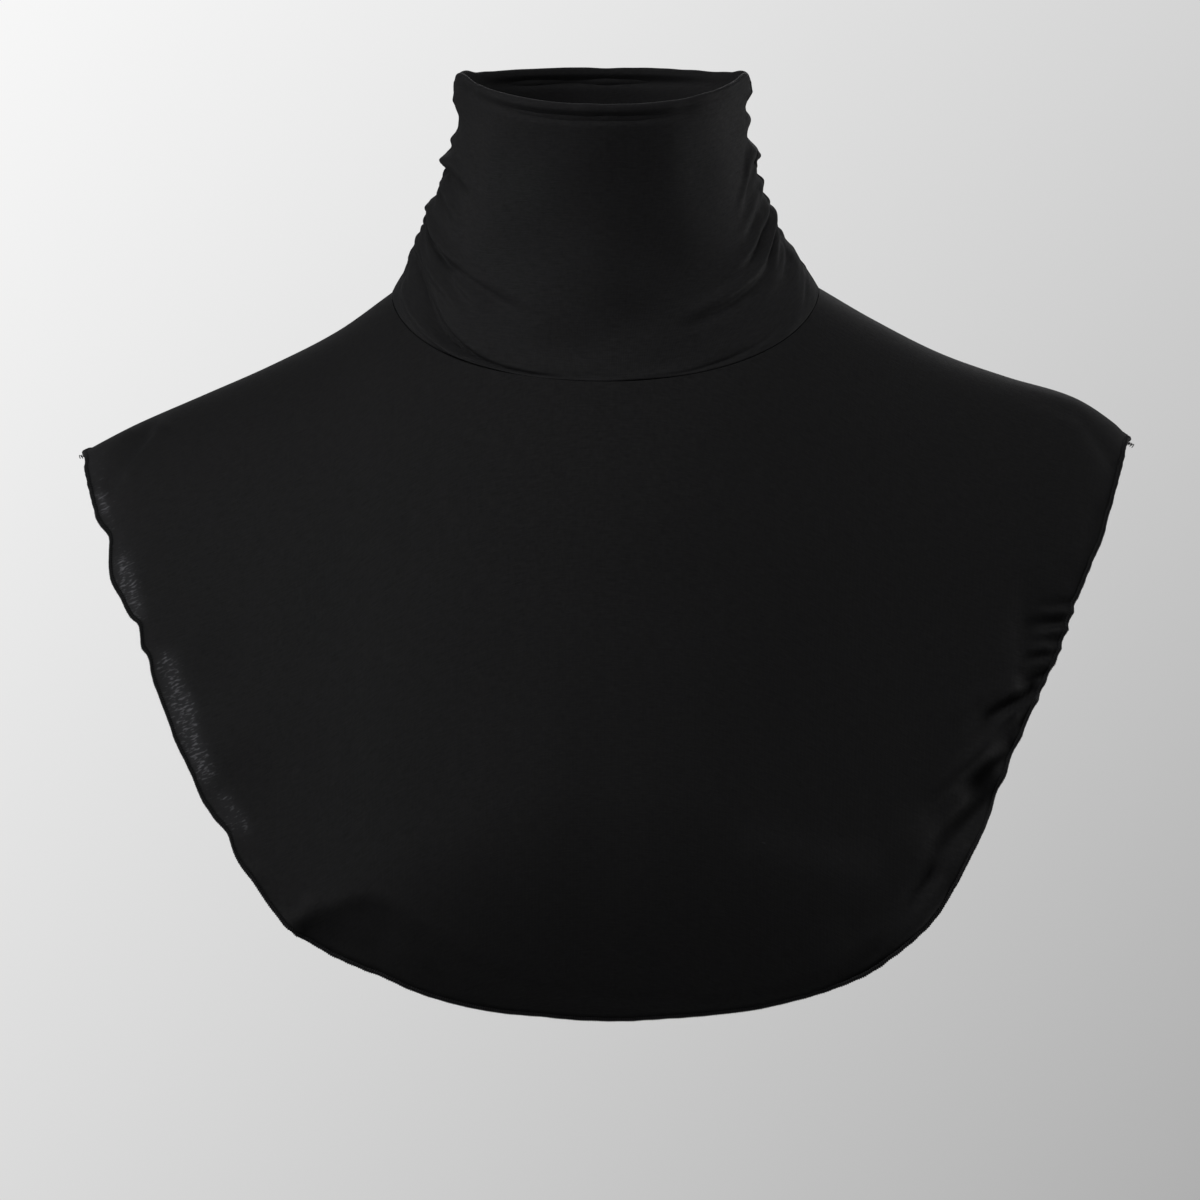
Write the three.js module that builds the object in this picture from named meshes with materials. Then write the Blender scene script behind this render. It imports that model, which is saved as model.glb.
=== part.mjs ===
// A detachable turtleneck collar: a stand-up collar, ruched along both side seams, sewn to a
// rounded bib that covers the shoulders and the chest. Black viscose jersey.
// Millimetres, +Z up. The wearer faces -Y, so the left of the front view is -X.
// The origin is the middle of the neck, level with the inner ends of the shoulder seams.

import * as THREE from "three";

const degree = Math.PI / 180;

// Cloth
const collarThickness = 2;
const bibThickness = 1.2;
const seamGap = 0.35;
const hemGap = 0.8;
const normalStep = 1e-3;
const nearEnd = 0.002;
const hemDiameter = 2;
const hemSides = 6;
const shareStep = 0.02;

// Neckline
const neckHalfWidth = 79.7;
const neckFrontDrop = 7.4;
const neckBackDrop = 7.1;
const necklineRoundness = 0.69;

// Collar
const rimSideHeight = 83.6;
const rimFrontHeight = 72.5;
const rimBackHeight = 86;
const rimDip = 2.6;
const foldSag = 0.6;
const sideSeamAngle = 0.2;

// Seam allowances, overlocked on the inside
const allowanceWidth = 4.4;
const allowanceThickness = 1.6;
const allowanceGap = 0.9;
const seamTail = [
  { past: -1.4, lift: 0.8 },
  { past: 1.6, lift: 2.2 },
];

// Grid steps of the cloth: around or along first, then up or out
const steps = {
  collarFront: 26,
  collarBack: 22,
  bibFront: [44, 15],
  bibBack: [30, 11],
  shoulder: 9,
};

// Height of the shoulder line at each distance from the middle
const shoulderLine = [
  { across: 79.7, left: 2.2, right: 4 },
  { across: 100, left: -12.2, right: -7.8 },
  { across: 125, left: -25, right: -20.4 },
  { across: 150, left: -36, right: -29.3 },
  { across: 175, left: -46.9, right: -36.9 },
  { across: 190, left: -54.6, right: -46.3 },
  { across: 198, left: -59.2, right: -54.5 },
];

// Collar at each level of its height, from 0 to 1: half widths at the side seams, depths before and behind
const collarProfile = [
  { level: 0, left: 79.7, right: 79.7, front: 64.4, back: 58.2 },
  { level: 0.12, left: 75, right: 74, front: 59.5, back: 54 },
  { level: 0.3, left: 68.7, right: 64.2, front: 55.5, back: 49.5 },
  { level: 0.5, left: 61.6, right: 57.6, front: 53, back: 46 },
  { level: 0.68, left: 57.6, right: 54.6, front: 52, back: 44 },
  { level: 0.84, left: 55.4, right: 53, front: 52.4, back: 43 },
  { level: 1, left: 55.8, right: 54.2, front: 53, back: 42.5 },
];

// Gathers of the side seams, from the bottom up: the height of each ridge and of the valley
// under it, and how far they stand out of the wall. Reach is in degrees round the neck.
const gathers = {
  left: [
    { valley: 9.5, in: 0.5, ridge: 16, out: 0.5, reach: 26 },
    { valley: 19.5, in: 0.3, ridge: 22.5, out: 0.5, reach: 34 },
    { valley: 25, in: 0.3, ridge: 26.8, out: 0.6, reach: 46 },
    { valley: 28.8, in: 1.1, ridge: 31.5, out: 0.3, reach: 50 },
    { valley: 34, in: 1.2, ridge: 36.5, out: 1.5, reach: 46 },
    { valley: 39.3, in: 0.2, ridge: 42, out: 0.6, reach: 34 },
    { valley: 45, in: 1.1, ridge: 48, out: 0.2, reach: 34 },
    { valley: 51.5, in: 0.8, ridge: 54, out: 1.8, reach: 30 },
    { valley: 57.8, in: 0.5, ridge: 61, out: 0.8, reach: 24 },
    { valley: 66, in: 1.7, ridge: 75, out: 1, reach: 20 },
  ],
  right: [
    { valley: 12, in: 0.4, ridge: 17, out: 0.1, reach: 26 },
    { valley: 20.5, in: 0.5, ridge: 23.5, out: 0.3, reach: 34 },
    { valley: 25.5, in: 0.5, ridge: 28, out: 0.8, reach: 46 },
    { valley: 30.5, in: 0.3, ridge: 33.4, out: 0.7, reach: 50 },
    { valley: 35.6, in: 0.9, ridge: 38, out: 0.3, reach: 46 },
    { valley: 40.4, in: 0.5, ridge: 43.5, out: 1.3, reach: 34 },
    { valley: 46.5, in: 1.2, ridge: 49.4, out: 0.2, reach: 34 },
    { valley: 51.9, in: 0.6, ridge: 56, out: 1.7, reach: 30 },
    { valley: 62, in: 1.5, ridge: 68, out: 1, reach: 24 },
    { valley: 72.5, in: 1, ridge: 78, out: 1.1, reach: 20 },
  ],
};

// Collar's long folds, from a side seam round towards the middle. Shares are of the height, at
// the seam and where the fold ends; reach is in degrees; a crease has a negative depth.
const collarFolds = [
  { side: "left", atSeam: 0.64, atEnd: 0.69, reach: 40, width: 0.035, depth: 0.8 },
  { side: "left", atSeam: 0.555, atEnd: 0.55, reach: 38, width: 0.03, depth: 0.8 },
  { side: "left", atSeam: 0.455, atEnd: 0.42, reach: 76, width: 0.035, depth: 1.3 },
  { side: "left", atSeam: 0.39, atEnd: 0.375, reach: 76, width: 0.035, depth: -1.3 },
  { side: "left", atSeam: 0.33, atEnd: 0.26, reach: 58, width: 0.035, depth: 0.9 },
  { side: "left", atSeam: 0.22, atEnd: 0.03, reach: 90, width: 0.035, depth: -2.4 },
  { side: "left", atSeam: 0.12, atEnd: 0, reach: 84, width: 0.05, depth: 1.1 },
  { side: "right", atSeam: 0.55, atEnd: 0.54, reach: 40, width: 0.03, depth: 0.8 },
  { side: "right", atSeam: 0.465, atEnd: 0.455, reach: 54, width: 0.03, depth: 1 },
  { side: "right", atSeam: 0.395, atEnd: 0.37, reach: 72, width: 0.035, depth: 1.6 },
  { side: "right", atSeam: 0.34, atEnd: 0.33, reach: 72, width: 0.035, depth: -1.2 },
  { side: "right", atSeam: 0.12, atEnd: 0.045, reach: 90, width: 0.03, depth: -0.8 },
];

// Rolled rim: half of the wall at each distance below the top edge
const rimRoll = [
  { below: 4.2, half: 1 },
  { below: 2.4, half: 1.45 },
  { below: 0.9, half: 1.25 },
  { below: 0, half: 0.55 },
];

// Outlines of the two bibs, seen from the front, from the left shoulder tip to the right one
const frontOutline = [
  { x: -196, z: -58.4 },
  { x: -192.5, z: -69 },
  { x: -184, z: -91 },
  { x: -172, z: -122.5 },
  { x: -161, z: -146.5 },
  { x: -145, z: -179 },
  { x: -122.5, z: -212 },
  { x: -92, z: -233.6 },
  { x: -50, z: -248.4 },
  { x: 0, z: -253.6 },
  { x: 50, z: -249.6 },
  { x: 92, z: -237.2 },
  { x: 123, z: -212 },
  { x: 142, z: -174 },
  { x: 159.5, z: -138.4 },
  { x: 173, z: -108.5 },
  { x: 184.5, z: -81 },
  { x: 191.5, z: -62 },
  { x: 197, z: -53.8 },
];
const backOutline = [
  { x: -196, z: -58.4 },
  { x: -183, z: -74 },
  { x: -163, z: -100 },
  { x: -139, z: -126 },
  { x: -108, z: -152 },
  { x: -70, z: -172 },
  { x: -34, z: -183 },
  { x: 0, z: -187 },
  { x: 34, z: -183 },
  { x: 70, z: -172 },
  { x: 108, z: -150 },
  { x: 139, z: -123 },
  { x: 163, z: -96 },
  { x: 184, z: -68 },
  { x: 197, z: -53.8 },
];

// Dents and ridges of the bibs, each along a line seen from the front
const frontDents = [
  { fromX: -122, fromZ: -204, toX: -104, toZ: -216, width: 9, depth: -5 },
  { fromX: -100, fromZ: -214, toX: -20, toZ: -238, width: 10, depth: -3 },
  { fromX: -150, fromZ: -120, toX: -172, toZ: -112, width: 9, depth: 2.5 },
  { fromX: -140, fromZ: -160, toX: -160, toZ: -158, width: 9, depth: 2.5 },
  { fromX: 158, fromZ: -120, toX: 172, toZ: -108, width: 8, depth: -2.5 },
  { fromX: 140, fromZ: -150, toX: 158, toZ: -135, width: 8, depth: -3 },
  { fromX: 122, fromZ: -185, toX: 136, toZ: -178, width: 9, depth: -4 },
  { fromX: 85, fromZ: -225, toX: 118, toZ: -205, width: 11, depth: -3.5 },
];
const backDents = [
  { fromX: -120, fromZ: -90, toX: -150, toZ: -108, width: 12, depth: 2.5 },
  { fromX: 120, fromZ: -88, toX: 150, toZ: -104, width: 12, depth: 2.5 },
];

// Shape of the chest and of the back under the cloth. Away from the shoulder line the cloth
// falls as a parabola does: forward by reach times the square root of the drop. Taper makes
// that less towards the arms, and turn draws the cloth in again below the drop turnFrom.
// Peak is where the shoulder lines would meet over the middle.
const ridgeY = 2;
const tipX = 197;
const taperPower = 2.2;
const frontPanel = {
  side: -1, outline: frontOutline, dents: frontDents, neckDrop: neckFrontDrop,
  peak: 27, reach: 8.7, taper: 2.9, turnFrom: 14, turn: 0.36,
};
const backPanel = {
  side: 1, outline: backOutline, dents: backDents, neckDrop: neckBackDrop,
  peak: 54, reach: 8.2, taper: 2.4, turnFrom: 10, turn: 0.12,
};

const jersey = new THREE.MeshStandardMaterial({ color: 0x131315, roughness: 0.86, metalness: 0 });
const thread = new THREE.MeshStandardMaterial({ color: 0x1a1a1d, roughness: 0.7, metalness: 0 });

// A smooth curve through one column of a table, read at any value of its key column
function columnCurve(table, key, column) {
  const slopes = table.map((row, i) => {
    const before = table[Math.max(0, i - 1)];
    const after = table[Math.min(table.length - 1, i + 1)];
    return (after[column] - before[column]) / (after[key] - before[key]);
  });
  return (value) => {
    let i = 0;
    while (i < table.length - 2 && value > table[i + 1][key]) i += 1;
    const span = table[i + 1][key] - table[i][key];
    const t = (value - table[i][key]) / span;
    const rise = table[i + 1][column] - table[i][column];
    const bend = slopes[i] * span * t * (1 - t) ** 2 - slopes[i + 1] * span * t ** 2 * (1 - t);
    return table[i][column] + rise * t * t * (3 - 2 * t) + bend;
  };
}

function smoothstep(from, to, value) {
  const t = THREE.MathUtils.clamp((value - from) / (to - from), 0, 1);
  return t * t * (3 - 2 * t);
}

const shoulderHeight = {
  left: columnCurve(shoulderLine, "across", "left"),
  right: columnCurve(shoulderLine, "across", "right"),
};

// Height that the cloth drops from, at x
function ridgeHeight(panel, x) {
  const line = x < 0 ? shoulderHeight.left : shoulderHeight.right;
  const across = Math.abs(x);
  if (across >= neckHalfWidth) return line(across);
  const inner = line(neckHalfWidth);
  return inner + (panel.peak - inner) * (1 - (across / neckHalfWidth) ** 2);
}

// A point of the body's surface, at x and at a drop of root squared
function bodyPoint(panel, x, root) {
  const turned = root - panel.turn * Math.max(0, root - panel.turnFrom) ** 2;
  const reach = panel.reach - panel.taper * (Math.abs(x) / tipX) ** taperPower;
  const y = ridgeY + panel.side * (seamGap / 2 + reach * turned);
  return new THREE.Vector3(x, y, ridgeHeight(panel, x) - root * root);
}

// The neckline at an angle from the middle of the panel, -90 to 90 degrees
function necklineAt(panel, angle) {
  const x = neckHalfWidth * Math.sin(angle);
  const root = panel.neckDrop * Math.max(0, Math.cos(angle)) ** necklineRoundness;
  return { x, root };
}

// The edge of the bib at u, from -1 at the left shoulder tip to 1 at the right one
function outlineCurves(panel) {
  const rows = panel.outline.map(({ x, z }, i) => ({
    i, x, root: Math.sqrt(Math.max(0, ridgeHeight(panel, x) - z)),
  }));
  rows[0].root = 0;
  rows[rows.length - 1].root = 0;
  const xCurve = columnCurve(rows, "i", "x");
  const rootCurve = columnCurve(rows, "i", "root");
  return (u) => {
    const i = (u + 1) / 2 * (rows.length - 1);
    return { x: xCurve(i), root: Math.max(0, rootCurve(i)) };
  };
}
frontPanel.edge = outlineCurves(frontPanel);
backPanel.edge = outlineCurves(backPanel);

function segmentDistance(x, z, line) {
  const dx = line.toX - line.fromX;
  const dz = line.toZ - line.fromZ;
  const t = ((x - line.fromX) * dx + (z - line.fromZ) * dz) / (dx * dx + dz * dz);
  const near = THREE.MathUtils.clamp(t, 0, 1);
  return Math.hypot(x - line.fromX - dx * near, z - line.fromZ - dz * near);
}

// The bib's outer face at u, and at v from 0 on the neckline to 1 at the edge
function bibPoint(panel, u, v) {
  const neck = necklineAt(panel, u * 90 * degree);
  const edge = panel.edge(u);
  const x = neck.x + (edge.x - neck.x) * v;
  const root = neck.root + (edge.root - neck.root) * v;
  const point = bodyPoint(panel, x, root);
  const lift = panel.dents.reduce((sum, dent) => {
    const away = segmentDistance(point.x, point.z, dent) / dent.width;
    return sum + dent.depth * Math.exp(-(away ** 2));
  }, 0);
  point.y += panel.side * lift;
  return point;
}

const profile = Object.fromEntries(
  ["left", "right", "front", "back"].map((column) => [column, columnCurve(collarProfile, "level", column)]),
);

// The gathers of one side seam as points of a curve: where, how far out, and how far round
function gatherPoints(side) {
  const points = gathers[side].flatMap((row) => [
    { height: row.valley, out: -row.in, reach: row.reach },
    { height: row.ridge, out: row.out, reach: row.reach },
  ]);
  return [
    { height: 0, out: 0, reach: 20 }, { height: 4, out: 0, reach: 20 }, ...points,
    { height: rimSideHeight - 2, out: 0.3, reach: 16 }, { height: rimSideHeight, out: 0, reach: 16 },
  ];
}
const seamPoints = { left: gatherPoints("left"), right: gatherPoints("right") };
const seamOut = Object.fromEntries(["left", "right"].map((side) => [side, {
  out: columnCurve(seamPoints[side], "height", "out"),
  reach: columnCurve(seamPoints[side], "height", "reach"),
}]));

// How far the collar's gathers and folds stand out at an angle from the panel's middle
function collarFoldLift(angle, share) {
  const fromSeam = 90 - Math.abs(angle) / degree;
  const side = angle < 0 ? "left" : "right";
  const height = share * rimSideHeight;
  const lift = seamOut[side].out(height) * Math.exp(-((fromSeam / seamOut[side].reach(height)) ** 2));
  const folds = collarFolds.filter((fold) => fold.side === side).reduce((sum, fold) => {
    const along = Math.min(1, fromSeam / fold.reach);
    const centre = fold.atSeam + (fold.atEnd - fold.atSeam) * smoothstep(0, 1, along);
    const fade = 1 - smoothstep(0.45, 1, along);
    return sum + fold.depth * fade * Math.exp(-(((share - centre) / fold.width) ** 2));
  }, 0);
  return lift + folds * smoothstep(0, 0.05, share);
}

// The collar's folds hang lower towards the middle: level is share to this power
function levelPower(angle) {
  return 1 + foldSag * Math.max(0, Math.cos(angle)) ** 0.8;
}

// The collar's outer face at an angle from the panel's middle, and at a share of its height
function collarPoint(panel, angle, share) {
  const neck = necklineAt(panel, angle);
  const base = bodyPoint(panel, neck.x, neck.root);
  const sine = Math.sin(angle);
  const cosine = Math.max(0, Math.cos(angle));
  const rimMiddle = panel.side < 0 ? rimFrontHeight : rimBackHeight;
  const rim = rimMiddle + (rimSideHeight - rimMiddle) * Math.abs(sine) ** rimDip;
  const level = Math.max(0, share) ** levelPower(angle);
  const halfWidth = sine < 0 ? profile.left(level) : profile.right(level);
  const depth = panel.side < 0 ? profile.front(level) : profile.back(level);
  const roundness = THREE.MathUtils.lerp(necklineRoundness, 1, smoothstep(0, 0.45, level));
  const x = halfWidth * sine;
  const foot = Math.abs(base.y - ridgeY) - (panel.side < 0 ? profile.front(0) : profile.back(0))
    * cosine ** necklineRoundness - seamGap / 2;
  const y = ridgeY + panel.side * (seamGap / 2 + depth * cosine ** roundness + foot * (1 - level) ** 4);
  const outward = new THREE.Vector3(sine / halfWidth, panel.side * cosine / depth, 0).normalize();
  const lift = collarFoldLift(angle, share);
  return new THREE.Vector3(x, y, base.z + (rim - base.z) * level).addScaledVector(outward, lift);
}

// The outward normal of a surface of two parameters; side is -1 or 1, as the parameters turn
function normalOf(surface, side, a, b) {
  const alongA = surface(a + normalStep, b).sub(surface(a - normalStep, b));
  const alongB = surface(a, b + normalStep).sub(surface(a, b - normalStep));
  return alongA.cross(alongB).normalize().multiplyScalar(-side);
}

// At a side or shoulder seam, both panels end on the plane between front and back
function squareToSeam(normal, isAtSeam) {
  return isAtSeam ? normal.setY(0).normalize() : normal;
}

// A closed body through rings of points. Each ring runs up one face and back down the other, so
// that its ends are closed by strips from face to face.
function loft(rings, isLoop = false) {
  const count = rings[0].length;
  const positions = rings.flat().flatMap((p) => [p.x, p.y, p.z]);
  const triangles = [];
  const quad = (a, b, c, d) => triangles.push(a, b, c, a, c, d);
  const last = isLoop ? rings.length : rings.length - 1;
  for (let i = 0; i < last; i += 1) {
    const here = i * count;
    const next = ((i + 1) % rings.length) * count;
    for (let j = 0; j < count; j += 1) {
      const k = (j + 1) % count;
      quad(here + j, next + j, next + k, here + k);
    }
  }
  if (!isLoop) {
    const end = (rings.length - 1) * count;
    for (let j = 0; j < count / 2 - 1; j += 1) {
      const k = count - 1 - j;
      quad(j, j + 1, k - 1, k);
      quad(end + j, end + k, end + k - 1, end + j + 1);
    }
  }
  const geometry = new THREE.BufferGeometry();
  geometry.setAttribute("position", new THREE.Float32BufferAttribute(positions, 3));
  geometry.setIndex(signedVolume(positions, triangles) < 0 ? triangles.reverse() : triangles);
  geometry.computeVertexNormals();
  return geometry;
}

function signedVolume(positions, triangles) {
  const corner = (i) => new THREE.Vector3().fromArray(positions, 3 * i);
  let volume = 0;
  for (let i = 0; i < triangles.length; i += 3) {
    const [a, b, c] = [corner(triangles[i]), corner(triangles[i + 1]), corner(triangles[i + 2])];
    volume += a.dot(b.cross(c)) / 6;
  }
  return volume;
}

// Values from one number to another in equal steps
function evenly(from, to, count) {
  return Array.from({ length: count + 1 }, (_, i) => from + (to - from) * i / count);
}

// Shares of the height that the collar's rows lie at: on each ridge and valley at both seams,
// evenly between them round the front, then on the rolled rim
function collarShares(angle) {
  const towardsRight = (1 + Math.sin(angle)) / 2;
  const heights = seamPoints.left.slice(0, -2).map((point, i) => (
    THREE.MathUtils.lerp(point.height, seamPoints.right[i].height, towardsRight)));
  const top = heights[heights.length - 1];
  const tall = heights[heights.length - 2];
  heights.splice(-1, 0, (top + tall) / 2);
  const onRim = rimRoll.map((row) => rimSideHeight - row.below);
  return [...heights, ...onRim].map((height) => height / rimSideHeight);
}

// One panel of the double collar, from seam to seam, with the puffed fold of its rim
function collarGeometry(panel, around) {
  const end = (90 - sideSeamAngle) * degree;
  const surface = (a, s) => collarPoint(panel, a, s);
  const rings = evenly(-end, end, around).map((angle) => {
    const inner = THREE.MathUtils.clamp(angle, -end + nearEnd, end - nearEnd);
    const shares = collarShares(angle);
    const faces = shares.map((share, i) => {
      const half = rimRoll[i - shares.length + rimRoll.length]?.half ?? collarThickness / 2;
      const atShare = THREE.MathUtils.clamp(share, nearEnd, 1 - nearEnd);
      const normal = squareToSeam(normalOf(surface, panel.side, inner, atShare), Math.abs(angle) === end);
      const outer = surface(angle, share);
      return [outer.clone().addScaledVector(normal, half - collarThickness / 2),
        outer.clone().addScaledVector(normal, -half - collarThickness / 2)];
    });
    return [...faces.map((pair) => pair[0]), ...faces.map((pair) => pair[1]).reverse()];
  });
  return loft(rings);
}

// Share of a bib's length, at u, that a distance along its cloth takes
function bibShare(panel, u, distance, atEdge) {
  const from = atEdge ? 1 - shareStep : 0;
  const length = bibPoint(panel, u, from).distanceTo(bibPoint(panel, u, from + shareStep));
  return distance * shareStep / length;
}

// Places round a bib from tip to tip, closer together at the tips
function bibStations(count) {
  const crowding = 0.35;
  return evenly(-1, 1, count).map((t) => crowding * Math.sin(t * 90 * degree) + (1 - crowding) * t);
}

// One layer of cloth from the neckline to the hem
function bibGeometry(panel, [along, out]) {
  const surface = (u, v) => bibPoint(panel, u, v);
  const rings = bibStations(along).map((u) => {
    const from = bibShare(panel, u, seamGap * 1.2, false);
    const to = 1 - bibShare(panel, u, hemDiameter + hemGap, true);
    const inner = THREE.MathUtils.clamp(u, nearEnd - 1, 1 - nearEnd);
    const faces = evenly(from, to, out).map((v) => {
      const outer = surface(u, v);
      const atShare = THREE.MathUtils.clamp(v, nearEnd, 1 - nearEnd);
      const normal = squareToSeam(normalOf(surface, -panel.side, inner, atShare), Math.abs(u) === 1);
      return [outer, outer.clone().addScaledVector(normal, -bibThickness)];
    });
    return [...faces.map((pair) => pair[0]), ...faces.map((pair) => pair[1]).reverse()];
  });
  return loft(rings);
}

// The rolled hem, along the edge of the cloth and stopping short of the shoulder seams
function hemGeometry(panel, along, end) {
  const surface = (u, v) => bibPoint(panel, u, v);
  const radius = hemDiameter / 2;
  const rings = bibStations(along).map((station) => {
    const u = THREE.MathUtils.clamp(station, -end, end);
    const v = 1 - bibShare(panel, u, radius, true);
    const normal = normalOf(surface, -panel.side, u, Math.min(v, 1 - nearEnd));
    const outward = surface(u, v).sub(surface(u, v - shareStep)).normalize();
    const middle = surface(u, v).addScaledVector(normal, -bibThickness / 2);
    return evenly(0, 1, hemSides).slice(0, hemSides).map((t) => middle.clone()
      .addScaledVector(outward, radius * Math.cos(2 * Math.PI * t))
      .addScaledVector(normal, radius * Math.sin(2 * Math.PI * t)));
  });
  return loft(rings);
}

// The overlocked seam allowance behind the neckline, all the way round
function necklineSeamGeometry(stepsInFront, stepsBehind) {
  const upperLevel = 0.03;
  const below = 2.4;
  const near = -(collarThickness + allowanceGap);
  const far = near - allowanceThickness;
  const end = 90 * degree;
  const stations = [
    ...evenly(-end, end, stepsInFront).slice(0, -1).map((angle) => [frontPanel, angle]),
    ...evenly(end, -end, stepsBehind).slice(0, -1).map((angle) => [backPanel, angle]),
  ];
  const rings = stations.map(([panel, angle]) => {
    const surface = (a, s) => collarPoint(panel, a, s);
    const inner = THREE.MathUtils.clamp(angle, -end + nearEnd, end - nearEnd);
    const upper = upperLevel ** (1 / levelPower(angle));
    const [topNormal, footNormal] = [upper, nearEnd].map((share) => (
      squareToSeam(normalOf(surface, panel.side, inner, share), Math.abs(angle) === end)));
    const top = surface(angle, upper);
    const foot = surface(angle, 0);
    const low = foot.clone().addScaledVector(foot.clone().sub(top).normalize(), below);
    return [
      low.clone().addScaledVector(footNormal, near), top.clone().addScaledVector(topNormal, near),
      top.clone().addScaledVector(topNormal, far), low.clone().addScaledVector(footNormal, far),
    ];
  });
  return loft(rings, true);
}

// The overlocked allowance under a shoulder seam, whose end stands out past the tip
function shoulderSeamGeometry(side, count) {
  const endGap = 3;
  const tipGap = 0.6;
  const underGap = 0.85;
  const sag = 0.2;
  const sideStep = 0.5;
  const tip = side < 0 ? frontOutline[0].x : frontOutline[frontOutline.length - 1].x;
  const inner = side * (neckHalfWidth + endGap);
  const clothEnd = tip - side * (hemDiameter + hemGap + tipGap);
  const stations = evenly(inner, clothEnd, count).map((x) => ({ x, lift: 0 }));
  stations.push(...seamTail.map(({ past, lift }) => ({ x: tip + side * past, lift })));
  const rings = stations.map(({ x, lift }) => {
    const rise = ridgeHeight(backPanel, x + sideStep) - ridgeHeight(backPanel, x - sideStep);
    const slope = rise / (2 * sideStep);
    const normal = new THREE.Vector3(-slope, 0, 1).normalize();
    const top = new THREE.Vector3(x, ridgeY - 1, ridgeHeight(backPanel, x))
      .addScaledVector(normal, lift - bibThickness - underGap);
    const across = new THREE.Vector3(0, allowanceWidth, -sag);
    const down = normal.clone().multiplyScalar(-allowanceThickness);
    return [top, top.clone().add(across), top.clone().add(across).add(down), top.clone().add(down)];
  });
  return loft(rings);
}

function addPiece(group, name, geometry, material) {
  const mesh = new THREE.Mesh(geometry, material);
  mesh.name = name;
  group.add(mesh);
}

const collar = new THREE.Group();
addPiece(collar, "collar_front", collarGeometry(frontPanel, steps.collarFront), jersey);
addPiece(collar, "collar_back", collarGeometry(backPanel, steps.collarBack), jersey);
addPiece(collar, "bib_front", bibGeometry(frontPanel, steps.bibFront), jersey);
addPiece(collar, "bib_back", bibGeometry(backPanel, steps.bibBack), jersey);
addPiece(collar, "hem_front", hemGeometry(frontPanel, steps.bibFront[0], 0.988), thread);
addPiece(collar, "hem_back", hemGeometry(backPanel, steps.bibBack[0], 0.98), thread);
addPiece(collar, "neckline_seam", necklineSeamGeometry(steps.collarFront, steps.collarBack), thread);
addPiece(collar, "shoulder_seam_left", shoulderSeamGeometry(-1, steps.shoulder), thread);
addPiece(collar, "shoulder_seam_right", shoulderSeamGeometry(1, steps.shoulder), thread);

export default collar;
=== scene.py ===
import math
import bpy
import numpy as np
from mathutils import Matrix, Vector


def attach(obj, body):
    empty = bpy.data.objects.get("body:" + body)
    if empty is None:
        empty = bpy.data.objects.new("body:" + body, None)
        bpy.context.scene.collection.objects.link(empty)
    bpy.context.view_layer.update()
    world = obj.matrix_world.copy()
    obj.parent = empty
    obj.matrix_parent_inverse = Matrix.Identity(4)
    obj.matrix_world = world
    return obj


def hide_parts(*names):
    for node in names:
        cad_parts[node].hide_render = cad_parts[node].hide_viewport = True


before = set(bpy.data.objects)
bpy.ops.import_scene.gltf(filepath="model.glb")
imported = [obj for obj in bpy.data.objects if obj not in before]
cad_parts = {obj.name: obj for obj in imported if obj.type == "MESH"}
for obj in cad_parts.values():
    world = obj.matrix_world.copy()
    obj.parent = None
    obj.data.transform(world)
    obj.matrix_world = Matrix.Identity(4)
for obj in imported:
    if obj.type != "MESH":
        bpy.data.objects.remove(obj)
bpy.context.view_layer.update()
print("frame loaded with", len(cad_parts), "nodes")

mm = 0.001  # the shape below is worked out in millimetres


def table(columns, *rows):  # rows of numbers, read by the names of their columns
    return dict(zip(columns.split(), np.array(rows, float).T))


def rowsOf(columns, lines):  # the rows of such a table again, one by one
    return zip(*[lines[name] for name in columns.split()])


# Camera, light and floor
studio = {
    "target": Vector((-0.002, 0, -0.113)),
    "distance": 2.2,
    "elevation": 5,
    "lens": 176,
    "sensor": 36,
    "farthest": 20,
    "floorHeight": -0.9,
    "floorRadius": 2.2,
    "floorSides": 96,
    "floorRoughness": 0.8,
    "floorSeen": 0.74,
    "floorBounce": 0.45,
    # the backdrop seen by the camera is painted light: a gradient, brighter to the upper left and darker to
    # the lower right
    "backMiddle": 0.78,
    "backAcross": -1.35,
    "backUp": 1.15,
    "backDarkest": 0.42,
    "backBrightest": 0.93,
    "ambientSide": 0.05,
    "ambientBehind": 0.08,
    "ambientLeast": 0.03,
}


def setInputs(node, values):
    for label, value in values.items():
        node.inputs[label].default_value = value


def mathNode(tree, operation, first, second=None, third=None):
    node = tree.nodes.new("ShaderNodeMath")
    node.operation = operation
    for socket, value in zip(node.inputs, (first, second, third)):
        if isinstance(value, bpy.types.NodeSocket):
            tree.links.new(value, socket)
        elif value is not None:
            socket.default_value = value
    return node.outputs[0]


def makeCamera():
    lean = math.radians(studio["elevation"])
    away = Vector((0, -math.cos(lean), math.sin(lean))) * studio["distance"]
    bpy.ops.object.camera_add(location=studio["target"] + away, rotation=(math.pi / 2 - lean, 0, 0))
    camera = bpy.context.object
    camera.name = "camera"
    camera.data.lens = studio["lens"]
    camera.data.sensor_width = studio["sensor"]
    camera.data.clip_end = studio["farthest"]
    bpy.context.scene.camera = camera


def makeLight(name, place, size, power):
    aim = (studio["target"] - Vector(place)).to_track_quat("-Z", "Y").to_euler()
    bpy.ops.object.light_add(type="AREA", location=place, rotation=aim)
    light = bpy.context.object
    light.name = name
    light.data.size = size
    light.data.energy = power


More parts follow.
